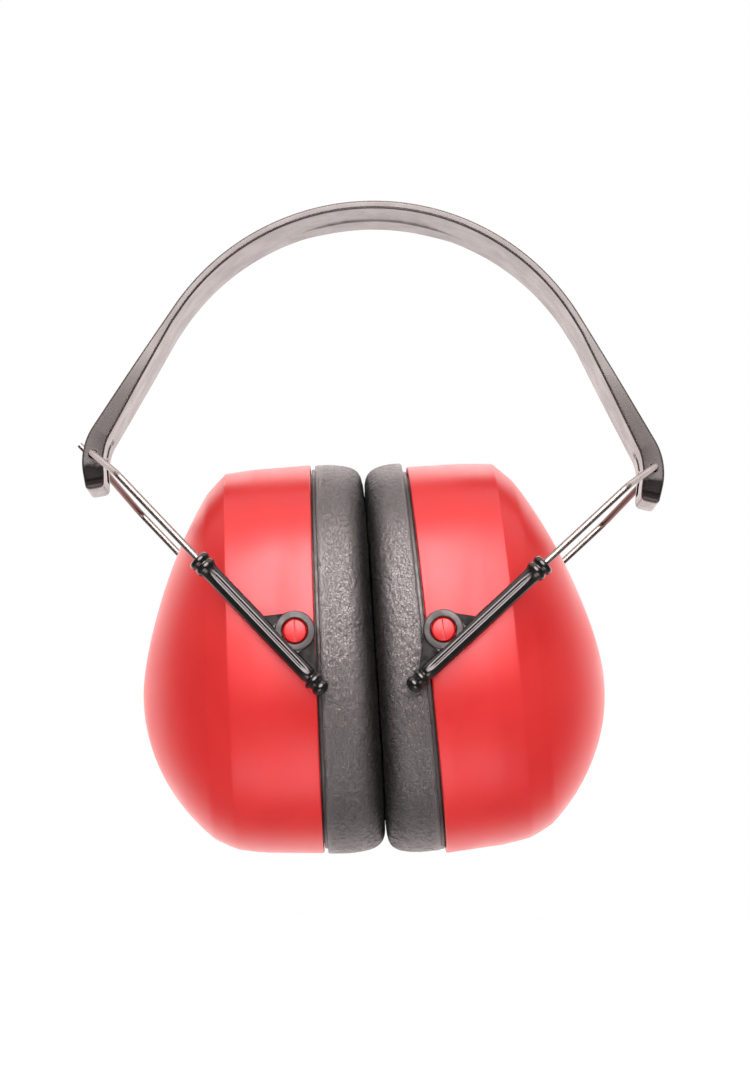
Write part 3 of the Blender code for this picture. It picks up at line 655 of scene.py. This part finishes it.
def hull(points):
    points = sorted(set((round(a, 6), round(b, 6)) for a, b in points))

    def half(seq):
        kept = []
        for p in seq:
            while len(kept) > 1 and (
                (kept[-1][0] - kept[-2][0]) * (p[1] - kept[-2][1])
                - (kept[-1][1] - kept[-2][1]) * (p[0] - kept[-2][0])
            ) <= 1e-9:
                kept.pop()
            kept.append(p)
        return kept[:-1]

    return half(points) + half(points[::-1])


def prism(name, outline, levels):
    """The outline stacked at (y, inset) levels."""
    n = len(outline)
    cx = sum(p[0] for p in outline) / n
    cz = sum(p[1] for p in outline) / n
    reach = max(math.hypot(p[0] - cx, p[1] - cz) for p in outline)
    verts = []
    for y, inset in levels:
        k = 1.0 - inset / reach
        verts += [(cx + (x - cx) * k, y, cz + (z - cz) * k) for x, z in outline]
    faces = rings(n, len(levels))
    faces += [tuple(range(n)), tuple(range(len(verts) - n, len(verts)))]
    return add_mesh(name, verts, faces)


def disc(radius, n):
    return [(radius * math.cos(2 * math.pi * k / n), radius * math.sin(2 * math.pi * k / n)) for k in range(n)]


def build_guide(name, side, angle, mouth, front):
    full = name + ("_front" if front else "_rear") + "_wire_guide"
    outside, tip = guide_outside()
    body = turned(full + "_tube", outside, 72, tip, M["guide"], tube_shape)
    bore = turned(full + "_bore", [(-1.0, BORE_R + 0.45), (0.0, BORE_R + 0.45), (0.6, BORE_R), (BORE_DEPTH, BORE_R)], 36)
    foot = -EYE_OFF + 1.45
    web = hull([*disc(EYE_R - 0.45, 60), (-8.9, foot), (12.3, foot)])
    y0, y1 = WEB_IN - LEG_Y, WEB_OUT - LEG_Y
    web = prism(
        full + "_web",
        [(EYE_ALONG + a, EYE_OFF + b) for a, b in web],
        ((y0, 0.25), (y0 + 0.25, 0.0), (y1 - 0.3, 0.0), (y1 - 0.08, 0.1), (y1, 0.3)),
    )
    y0, y1 = EYE_IN - LEG_Y, EYE_OUT - LEG_Y
    ring = prism(
        full + "_ring",
        [(EYE_ALONG + a, EYE_OFF + b) for a, b in disc(EYE_R, 84)],
        ((y0, 0.3), (y0 + 0.3, 0.0), (y1 - 0.45, 0.0), (y1 - 0.22, 0.06), (y1 - 0.06, 0.22), (y1, 0.45)),
    )
    hole = prism(
        full + "_hole",
        [(EYE_ALONG + a, EYE_OFF + b) for a, b in disc(EYE_HOLE_R, 64)],
        ((y0 - 2.0, 0.0), (y1 - 0.25, 0.0), (y1 + 0.25, -0.5), (y1 + 2.0, -0.5)),
    )
    lug = hull([*disc(EYE_R - 0.05, 72), (-EYE_R * 0.93, foot), (EYE_R * 0.93, foot)])
    lug = prism(
        full + "_lug",
        [(EYE_ALONG + a, EYE_OFF + b) for a, b in lug],
        ((y0 + 0.4, 0.1), (y1 - 0.62, 0.05), (y1 - 0.42, 0.14), (y1 - 0.34, 0.3)),
    )
    cut_and_join(
        body,
        [(web, "UNION"), (lug, "UNION"), (ring, "UNION"), (hole, "DIFFERENCE"), (bore, "DIFFERENCE")],
        42.0,
    )
    mesh = body.data
    mesh.materials.clear()
    for part in (M["guide"], M["lug"], M["web"]):
        mesh.materials.append(part)
    for face in mesh.polygons:
        at = face.center / MM
        kind = 0
        if at.z > foot + EYE_OFF + 0.5 and face.normal.y > 0.2 and abs(at.x - EYE_ALONG) < 16.0:
            kind = 1 if at.y > WEB_OUT - LEG_Y + 0.1 else 2
        face.material_index = kind
    a = math.radians(angle)
    along = leg_direction(side, angle)
    toward_eye = Vector((-side * math.sin(a), 0.0, math.cos(a)))
    out = Vector((0.0, -1.0 if front else 1.0, 0.0))
    place = Matrix((along, out, toward_eye)).transposed().to_4x4()
    place.translation = (pivot_of(name) + along * mouth + out * LEG_Y) * MM
    body.data.transform(place)
    if place.determinant() < 0:
        body.data.flip_normals()
    body.name = full + "_moulding"
    return stand_in(body, name + "_guides", "black_plastic", full)


# ---------------------------------------------------------------------------
# cups
# ---------------------------------------------------------------------------
def oval(phi, half_w, half_h, power=OVAL):
    c, s = math.cos(phi), math.sin(phi)
    return (
        half_w * math.copysign(abs(s) ** (2 / power), s),
        half_h * math.copysign(abs(c) ** (2 / power), c),
    )


def even_angles(count, half_w, half_h):
    fine = 2880
    points = [oval(2 * math.pi * i / fine, half_w, half_h) for i in range(fine + 1)]
    length = [0.0]
    for a, b in zip(points, points[1:]):
        length.append(length[-1] + math.dist(a, b))
    angles, i = [], 0
    for k in range(count):
        want = length[-1] * k / count
        while length[i + 1] < want:
            i += 1
        angles.append(2 * math.pi * (i + (want - length[i]) / (length[i + 1] - length[i])) / fine)
    return angles


def cup_place(side, stud, lean, stud_d):
    t = math.radians(lean)
    up = Vector((-math.sin(t), 0.0, math.cos(t)))
    outward = Vector((math.cos(t), 0.0, math.sin(t))) * side
    m = math.radians(MEET_LEAN)
    across = Vector((math.cos(m), 0.0, math.sin(m)))
    start = side * MEET_GAP - across.dot(stud - Vector((MEET_X, 0.0, MEET_Z)))

    def place(d, y, h):
        p = stud + outward * (d - stud_d) + up * h
        return (p.x, y, p.z)

    def face_depth(h):
        return stud_d + (start - across.dot(up) * h) / across.dot(outward)

    return place, face_depth, outward, up, across


def cup_point(phi, d, w, hh, s, wall):
    y, h = oval(phi, w, hh)
    h += CUP_MID_H
    if s is None:
        return d, y, h
    up = 0.5 + 0.5 * math.cos(phi)
    p = 2.05 - 0.55 * up * up
    rise = (1.0 - s**p) ** 0.805
    return SKIRT + (DEPTH - wall - SKIRT) * rise, y * s, APEX_H + (h - APEX_H) * s


def shell_rings(wall, fine):
    w, hh = RIM_HALF_W - wall, RIM_HALF_H - wall
    made = []
    if not wall:  # the mouth's outer edge is eased
        for a in (0.0, 30.0, 60.0):
            t = math.radians(a)
            inset = 0.4 * (1 - math.sin(t))
            made.append((0.4 * (1 - math.cos(t)), w - inset, hh - inset, None))
    for at in (0.4, 4, 8, 12, 15, 17, 18.5, 19.6, 20.5, 21.2, 21.8, 22.3, 22.7, 23) if fine else (0, 8, 16, 23):
        share = at / SKIRT
        made.append((SKIRT * share, w - SKIRT_DRAFT * share, hh - SKIRT_DRAFT * share, None))
    steps = 46 if fine else 20
    for k in range(1, steps):
        made.append((None, w - SKIRT_DRAFT, hh - SKIRT_DRAFT, 1.0 - (k / steps) ** 1.9))
    return made


def build_cup(name, place, stud_d):
    count = 168
    angles = even_angles(count, RIM_HALF_W, RIM_HALF_H)
    inner, outer = shell_rings(WALL, False), shell_rings(0.0, True)
    verts = []
    for ring in reversed(inner):
        verts += [place(*cup_point(phi, *ring, WALL)) for phi in angles]
    for ring in outer:
        verts += [place(*cup_point(phi, *ring, 0.0)) for phi in angles]
    total = len(inner) + len(outer)
    # the line between skirt and dome is a soft one, eased along each section
    curve = np.array(verts, float)[len(inner) * count :].reshape(len(outer), count, 3)
    seam = [i for i, ring in enumerate(outer) if ring[3] is not None][0]
    away = np.linalg.norm(curve - curve[seam], axis=2)
    weight = np.clip(1.0 - away / 6.5, 0.0, 1.0)[1:-1, :, None]
    for _ in range(380):
        a = np.linalg.norm(curve[1:-1] - curve[:-2], axis=2)[:, :, None]
        b = np.linalg.norm(curve[2:] - curve[1:-1], axis=2)[:, :, None]
        middle = (curve[:-2] * b + curve[2:] * a) / (a + b)
        curve[1:-1] += 0.5 * weight * (middle - curve[1:-1])
    verts = verts[: len(inner) * count] + [tuple(v) for v in curve.reshape(-1, 3)]
    faces = rings(count, total)
    first = len(verts)
    verts += [place(DEPTH - WALL, 0.0, APEX_H), place(DEPTH, 0.0, APEX_H)]
    base = (total - 1) * count
    for k in range(count):
        n = (k + 1) % count
        faces.append((first, n, k))
        faces.append((first + 1, base + k, base + n))
    shell = add_mesh(name + "_cup_dome", verts, faces, M["cup"], 40.0)
    steps = []
    for y in (-1.0, 1.0):
        levels = ((RIM_HALF_W - WALL + 0.9, STUD_R), (STUD_END - 0.5, STUD_R), (STUD_END - 0.3, STUD_R - 0.04), (STUD_END - 0.1, STUD_R - 0.18), (STUD_END, STUD_R - 0.45))
        sides = 56
        pts = [
            place(stud_d + r * math.cos(2 * math.pi * k / sides), y * at, r * math.sin(2 * math.pi * k / sides))
            for at, r in levels
            for k in range(sides)
        ]
        quads = rings(sides, len(levels))
        quads += [tuple(range(sides)), tuple(range(len(pts) - sides, len(pts)))]
        steps.append((add_mesh(name + "_stud%+d" % y, pts, quads), "UNION"))
        box = [
            place(stud_d + i * 0.2, y * (STUD_END + j), k * 2.6)
            for k in (-1, 1)
            for i, j in ((-1, -1.0), (1, -1.0), (1, 2.0), (-1, 2.0))
        ]
        quads = [(0, 3, 2, 1), (4, 5, 6, 7), (0, 1, 5, 4), (1, 2, 6, 5), (2, 3, 7, 6), (3, 0, 4, 7)]
        steps.append((add_mesh(name + "_slot%+d" % y, box, quads), "DIFFERENCE"))
    cut_and_join(shell, steps, 40.0)
    return stand_in(shell, name + "_cup", "cup_red", name + "_cup_shell")


def build_plate(name, place):
    w, hh, inset, e = RIM_HALF_W, RIM_HALF_H, WALL + 0.4, 0.28
    back = -GAP - PLATE_T
    outline = [
        (w - 1.2 - e, hh - 1.2 - e, -GAP),
        (w - 1.2 - e * 0.3, hh - 1.2 - e * 0.3, -GAP - e * 0.3),
        (w - 1.2, hh - 1.2, -GAP - e),
        (w - 1.2, hh - 1.2, back + e),
        (w - 1.2 - e * 0.3, hh - 1.2 - e * 0.3, back + e * 0.3),
        (w - 1.2 - e, hh - 1.2 - e, back),
        (OPEN_HALF_W + 1.0, OPEN_HALF_H + 1.0, back),
        (OPEN_HALF_W + 1.0, OPEN_HALF_H + 1.0, -GAP),
        (w - inset - 1.3, hh - inset - 1.3, -GAP),
        (w - inset - 1.3, hh - inset - 1.3, 3.6),
        (w - inset, hh - inset, 3.6),
        (w - inset, hh - inset, -GAP),
    ]
    angles = even_angles(160, RIM_HALF_W, RIM_HALF_H)
    verts = []
    for a, b, d in outline:
        for phi in angles:
            y, h = oval(phi, a, b)
            verts.append(place(d, y, h + CUP_MID_H))
    plate = add_mesh(name + "_plate_ring", verts, rings(160, len(outline), True), M["plate"], 40.0)
    return stand_in(plate, name + "_cup", "plate_black", name + "_cushion_plate")


# ---------------------------------------------------------------------------
# cushions: simulated film over foam, then folds in the mesh
# --------------------------------------------------------------------------- cushions: a film simulated as cloth under pressure, then folds in the mesh
SECTION = (
    (0.0, -0.066), (-0.1, 0.0), (-0.15, 0.12), (-0.15, 0.30), (0.0, 0.50), (0.45, 0.70), (1.4, 0.87), (3.2, 0.98),
    (6.4, 1.04), (10.2, 1.05), (13.6, 1.02), (16.4, 0.94), (18.2, 0.80), (19.3, 0.60), (19.6, 0.38), (19.3, 0.16),
    (18.2, 0.0), (10.0, 0.0), (1.25, 0.0), (0.85, -0.03), (0.5, -0.07),
)
RING_COUNT = 72


def inflate(obj, held, cap):
    """Runs the film as cloth under pressure, held at its back, and moves each point at most `cap` metres."""
    rest = np.array([v.co for v in obj.data.vertices], float)
    group = obj.vertex_groups.new(name="held")
    group.add(held, 1.0, "REPLACE")
    cloth = obj.modifiers.new("film", "CLOTH")
    settings = cloth.settings
    settings.quality = 7
    settings.mass = 0.004
    settings.tension_stiffness = 12.0
    settings.compression_stiffness = 6.0
    settings.shear_stiffness = 4.0
    settings.bending_stiffness = 0.08
    settings.air_damping = 1.5
    settings.use_pressure = True
    settings.uniform_pressure_force = 40.0
    settings.vertex_group_mass = "held"
    settings.effector_weights.gravity = 0.0
    cloth.collision_settings.use_collision = False
    cloth.point_cache.frame_start = 1
    cloth.point_cache.frame_end = 20
    scene = bpy.context.scene
    for f in range(1, 21):
        scene.frame_set(f)
    graph = bpy.context.evaluated_depsgraph_get()
    made = obj.evaluated_get(graph).to_mesh()
    now = np.array([v.co for v in made.vertices], float)
    obj.evaluated_get(graph).to_mesh_clear()
    obj.modifiers.clear()
    obj.vertex_groups.clear()
    scene.frame_set(1)
    move = now - rest
    size = np.linalg.norm(move, axis=1, keepdims=True)
    move *= np.minimum(1.0, cap / np.maximum(size, 1e-9))
    move[~np.isfinite(move).all(axis=1)] = 0.0
    obj.data.vertices.foreach_set("co", (rest + move).astype(np.float32).ravel())
    obj.data.update()
    return float(np.abs(move).max())


def build_cushion(name, side, place, face_depth, axes, raised, seed):
    outward, up, across = axes
    inset = 0.3
    w, hh = CUSHION_HALF_W - inset, CUSHION_HALF_H - inset
    middle = CUP_MID_H + raised
    back = -GAP - PLATE_T - GAP
    angles = even_angles(RING_COUNT, RIM_HALF_W, RIM_HALF_H)
    verts, held = [], []
    ring_width = CUSHION_HALF_W - OPEN_HALF_W - 2 * inset
    for off, share in SECTION:
        off = off * ring_width / 19.5
        for phi in angles:
            y, h = oval(phi, w - off, hh - off)
            h += middle
            if share <= 0.0:
                held.append(len(verts))
            verts.append(place(back + (face_depth(h) - back) * share, y, h))
    film = add_mesh(name + "_cushion_film", verts, rings(RING_COUNT, len(SECTION), True), M["film"], 180.0)
    moved = inflate(film, held, 0.0007)
    print("film", name, "moved up to %.2f mm" % (moved / MM))
    sub = film.modifiers.new("fine", "SUBSURF")
    sub.levels = sub.render_levels = 3
    evaluated(film)
    mesh = film.data
    n = len(mesh.vertices)
    co = np.zeros(n * 3)
    mesh.vertices.foreach_get("co", co)
    co = co.reshape(-1, 3)
    origin = np.array(place(0.0, 0.0, 0.0)) * MM
    ax, out, top = np.array(across), np.array(outward), np.array(up)

    rel = co - origin
    rim = np.abs(rel[:, 1] / MM / CUSHION_HALF_W) ** OVAL + np.abs((rel @ top / MM - middle) / CUSHION_HALF_H) ** OVAL
    rim = rim ** (1 / OVAL)

    def press(points, gap, soft):
        """The two cushions press flat on each other along one plane, and the back lies on its plate."""
        wave = 0.32 * np.sin(points[:, 1] / MM / 5.3 + 0.6) + 0.1 * np.sin(points[:, 1] / MM / 2.1 + points[:, 2] / MM / 11.0)
        t = side * (((points - np.array([MEET_X, 0.0, MEET_Z]) * MM) @ ax) / MM - wave) - gap
        flat = np.where(t < -soft, 0.0, np.where(t < soft, (t + soft) ** 2 / (4 * soft), t))
        points = points + np.outer((flat - t) * side * MM, ax)
        lift = np.where(rim > 0.955, 0.0, np.minimum((back - 0.02) - (points - origin) @ out / MM, 0.0))
        return points + np.outer(lift * MM, out)

    # inside the cover's own outline
    rel = co - origin
    height, y = rel @ top / MM - middle, rel[:, 1] / MM
    rho = (np.abs(y / CUSHION_HALF_W) ** OVAL + np.abs(height / CUSHION_HALF_H) ** OVAL) ** (1 / OVAL)
    over = np.minimum(1.0, 1.0 / np.maximum(rho, 1e-6)) - 1.0
    co = co + np.outer(over * height * MM, top)
    co[:, 1] += over * y * MM
    co = press(co, 0.03, 0.9)
    mesh.vertices.foreach_set("co", co.astype(np.float32).ravel())
    mesh.update()
    normal = np.zeros(n * 3)
    mesh.vertex_normals.foreach_get("vector", normal)
    normal = normal.reshape(-1, 3)
    # where each point is on the ring and round the section
    rel = co - origin
    depth = rel @ out / MM
    height = rel @ top / MM - middle
    y = rel[:, 1] / MM
    rho = (np.abs(y / w) ** OVAL + np.abs(height / hh) ** OVAL) ** (1 / OVAL)
    phi = np.arctan2(np.sign(y) * np.abs(y / w) ** (OVAL / 2), np.sign(height) * np.abs(height / hh) ** (OVAL / 2))
    fine = even_angles(720, RIM_HALF_W, RIM_HALF_H)
    ring_at = np.interp(phi % (2 * math.pi), fine + [2 * math.pi], np.linspace(0.0, 1.0, 721))
    round_at = np.arctan2((depth - back / 2 - np.array([face_depth(h + middle) for h in height]) / 2) / 7.0, (rho - 0.76) / 0.24)
    push = np.zeros(n)
    radius = 290.0 / (2 * math.pi)
    for i in range(n):
        t = 2 * math.pi * ring_at[i]
        c, s, q = math.cos(t) * radius, math.sin(t) * radius, round_at[i] * 9.5
        p = Vector((c / 1.35 + seed, s / 1.35, q / 2.6))
        warped = p + noise.noise_vector(p * 0.55) * 0.75 + noise.noise_vector(p * 1.6) * 0.22
        near = noise.voronoi(warped)[0]
        crease = max(0.0, 1.0 - (near[1] - near[0]) / 0.36)
        p2 = Vector((c / 0.85 - seed, s / 0.85, q / 1.5))
        near2 = noise.voronoi(p2 + noise.noise_vector(p2 * 0.7) * 0.5)[0]
        crease2 = max(0.0, 1.0 - (near2[1] - near2[0]) / 0.32)
        broad = noise.noise(Vector((c / 9.0, s / 9.0, q / 9.0 + seed)))
        calm = noise.noise(Vector((c / 15.0 + 7.0, s / 15.0, q / 12.0)))
        amount = min(1.0, max(0.45, 0.8 + 0.8 * calm))
        push[i] = (
            -0.22 * amount * crease * crease
            - 0.13 * (1.35 - amount) * crease2 * crease2
            + 0.07 * amount * (near[0] - 0.3)
            + 0.14 * broad
            - 0.06
        )
    quiet = np.clip(np.abs(depth - back) / 1.4, 0.0, 1.0)
    push = np.minimum(push, 0.08)
    co = press(co + normal * (push * quiet * MM)[:, None], 0.02, 0.03)
    mesh.vertices.foreach_set("co", co.astype(np.float32).ravel())
    mesh.update()
    smooth(mesh, 180.0)
    # how open each point lies to the light, falling to nothing where the two cushions press together; the film
    # material paints shade from it
    near = side * (((co - np.array([MEET_X, 0.0, MEET_Z]) * MM) @ ax) / MM)
    light = np.clip((near - 0.2) / 6.6, 0.0, 1.0)
    light = light * light * (3 - 2 * light)
    layer = mesh.attributes.new("open_to_light", "FLOAT", "POINT")
    layer.data.foreach_set("value", light.astype(np.float32))
    stand_in(film, name + "_cup", "cushion_film", name + "_cushion_cover", name + "_cushion_foam")
    anchor = Vector(place(back, 0.0, 0.0)) * MM
    tuple(outward)
    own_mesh(film)
    return film


def build_foam(name, place):
    """The sound-absorbing pad behind the opening: a cut slab pushed into the bowl, pillowed by its own spring."""
    count = 96
    angles = even_angles(count, RIM_HALF_W, RIM_HALF_H)
    inset = WALL + 0.8
    levels = [(5.4, 30.0), (5.1, 22.0), (4.9, 14.0), (5.2, 7.5), (5.9, 5.4), (7.2, 4.5), (11.0, 4.6), (15.0, 4.9), (19.0, 5.4), (22.0, 7.0), (24.5, 10.0), (28.0, 16.0)]
    verts = []
    for d, more in levels:
        for phi in angles:
            y, h = oval(phi, RIM_HALF_W - inset - more + 3.0, RIM_HALF_H - inset - more + 3.0)
            q = noise.noise(Vector((y * 0.12, h * 0.12, d * 0.2))) * 0.5
            verts.append(place(d + q * (1.0 if d < 8 else 0.0), y, h + CUP_MID_H * (1 - 0.1 * (d > 20))))
    faces = rings(count, len(levels))
    faces += [tuple(range(count)), tuple(range(len(verts) - count, len(verts)))]
    pad = add_mesh(name + "_acoustic_pad", verts, faces, M["foam"], 70.0)
    return stand_in(pad, name + "_cup", "acoustic_foam_dark", name + "_acoustic_foam")


build_band()
for number, (name, side, angle, mouth, lean, stud_d, raised) in enumerate(SIDES):
    build_yoke(name, side, angle)
    build_guide(name, side, angle, mouth, True)
    build_guide(name, side, angle, mouth, False)
    stud = Vector(JOINTS[name + "_cup_tilt"]["pos_m"]) / MM
    place, face_depth, outward, up, across = cup_place(side, stud, lean, stud_d)
    build_cup(name, place, stud_d)
    build_plate(name, place)
    build_cushion(name, side, place, face_depth, (outward, up, across), raised, 3.7 + 11.3 * number)
    build_foam(name, place)


# ---------------------------------------------------------------------------
# floor, light and camera
# ---------------------------------------------------------------------------
def build_stage():
    mesh = bpy.data.meshes.new("floor")
    mesh.from_pydata([(-40, -40, -0.42), (40, -40, -0.42), (40, 40, -0.42), (-40, 40, -0.42)], [], [(0, 1, 2, 3)])
    floor = bpy.data.objects.new("floor", mesh)
    bpy.context.scene.collection.objects.link(floor)
    made = bpy.data.materials.new("pale_floor")
    made.use_nodes = True
    g = Graph(made.node_tree)
    out = made.node_tree.nodes["Material Output"]
    cloth = made.node_tree.nodes["Principled BSDF"]
    cloth.inputs["Base Color"].default_value = (0.30, 0.30, 0.30, 1)
    cloth.inputs["Roughness"].default_value = 0.9
    glow = g.add("ShaderNodeEmission")
    glow.inputs["Color"].default_value = (1, 1, 1, 1)
    glow.inputs["Strength"].default_value = 0.8
    both = g.add("ShaderNodeAddShader")
    g.links.new(cloth.outputs[0], both.inputs[0])
    g.links.new(glow.outputs[0], both.inputs[1])
    g.links.new(both.outputs[0], out.inputs["Surface"])
    mesh.materials.append(made)
    floor.visible_diffuse = False
    floor.visible_glossy = False
    floor.visible_shadow = False


def build_light():
    """A white tent: soft light from everywhere, a large softbox in front above, a weaker one in front below."""
    world = bpy.data.worlds.new("tent")
    bpy.context.scene.world = world
    world.use_nodes = True
    g = Graph(world.node_tree)
    out = world.node_tree.nodes["World Output"]
    ground = world.node_tree.nodes["Background"]
    where = g.add("ShaderNodeTexCoord").outputs["Generated"]
    x, y, z = (g.dot(where, axis) for axis in ((1, 0, 0), (0, 1, 0), (0, 0, 1)))
    path = g.add("ShaderNodeLightPath")

    # what shiny surfaces see
    seen = g.ramp(y, 0.12, 0.72, 0.13, 1.9)
    seen = g.math("ADD", seen, g.ramp(z, 0.35, 0.9, 0.0, 2.2))
    seen = g.math("ADD", seen, g.math("MULTIPLY", g.ramp(z, -0.5, -0.9, 0.0, 0.55), g.ramp(y, -0.6, 0.3, 1.0, 0.4)))
    for elevation, inner, outer, strength in ((27.0, 15.0, 34.0, 16.5), (-50.0, 9.0, 25.0, 4.2)):
        e = math.radians(elevation)
        towards = g.dot(where, (0.0, -math.cos(e), math.sin(e)))
        box = g.ramp(towards, math.cos(math.radians(outer)), math.cos(math.radians(inner)), 0.0, strength)
        seen = g.math("ADD", seen, box)
    # what matt surfaces gather
    soft = g.ramp(z, -1.0, 1.0, 0.80, 1.12, "LINEAR")
    soft = g.math("ADD", soft, g.ramp(y, -1.0, 1.0, 0.12, -0.08, "LINEAR"))
    level = g.add("ShaderNodeMix", data_type="FLOAT")
    g.put(level.inputs[0], path.outputs["Is Glossy Ray"])
    g.put(level.inputs[2], soft)
    g.put(level.inputs[3], seen)
    tint = g.mix(path.outputs["Is Glossy Ray"], (1.0, 1.0, 1.0, 1), (1.07, 0.95, 0.935, 1))
    lit = g.add("ShaderNodeVectorMath", operation="SCALE")
    g.put(lit.inputs[0], tint)
    g.put(lit.inputs["Scale"], level.outputs[0])
    colour = g.mix(path.outputs["Is Camera Ray"], lit.outputs[0], (1.0, 1.0, 1.0, 1))
    g.put(ground.inputs["Color"], colour)
    ground.inputs["Strength"].default_value = 1.0
    g.links.new(ground.outputs[0], out.inputs["Surface"])
    if hasattr(world, "cycles"):
        world.cycles.sampling_method = "NONE"


def build_camera():
    pitch, roll = math.radians(6.06), math.radians(1.4)
    ahead = Vector((0.0, math.cos(pitch), math.sin(pitch)))
    right = Vector((1.0, 0.0, 0.0))
    up = Vector((0.0, -math.sin(pitch), math.cos(pitch)))
    right, up = right * math.cos(roll) + up * math.sin(roll), up * math.cos(roll) - right * math.sin(roll)
    camera = bpy.data.cameras.new("camera")
    camera.sensor_width = 36.0
    camera.lens = 3333.0 / 1088.0 * 36.0
    camera.clip_start, camera.clip_end = 0.02, 200.0
    obj = bpy.data.objects.new("camera", camera)
    bpy.context.scene.collection.objects.link(obj)
    turn = Matrix((right, up, -ahead)).transposed().to_4x4()
    turn.translation = Vector((0.001, 0.0, -0.0892)) - ahead * 0.9
    obj.matrix_world = turn
    bpy.context.scene.camera = obj


build_stage()
build_light()
build_camera()
settings = bpy.context.scene.view_settings
settings.view_transform = "Standard"
settings.look = "None"
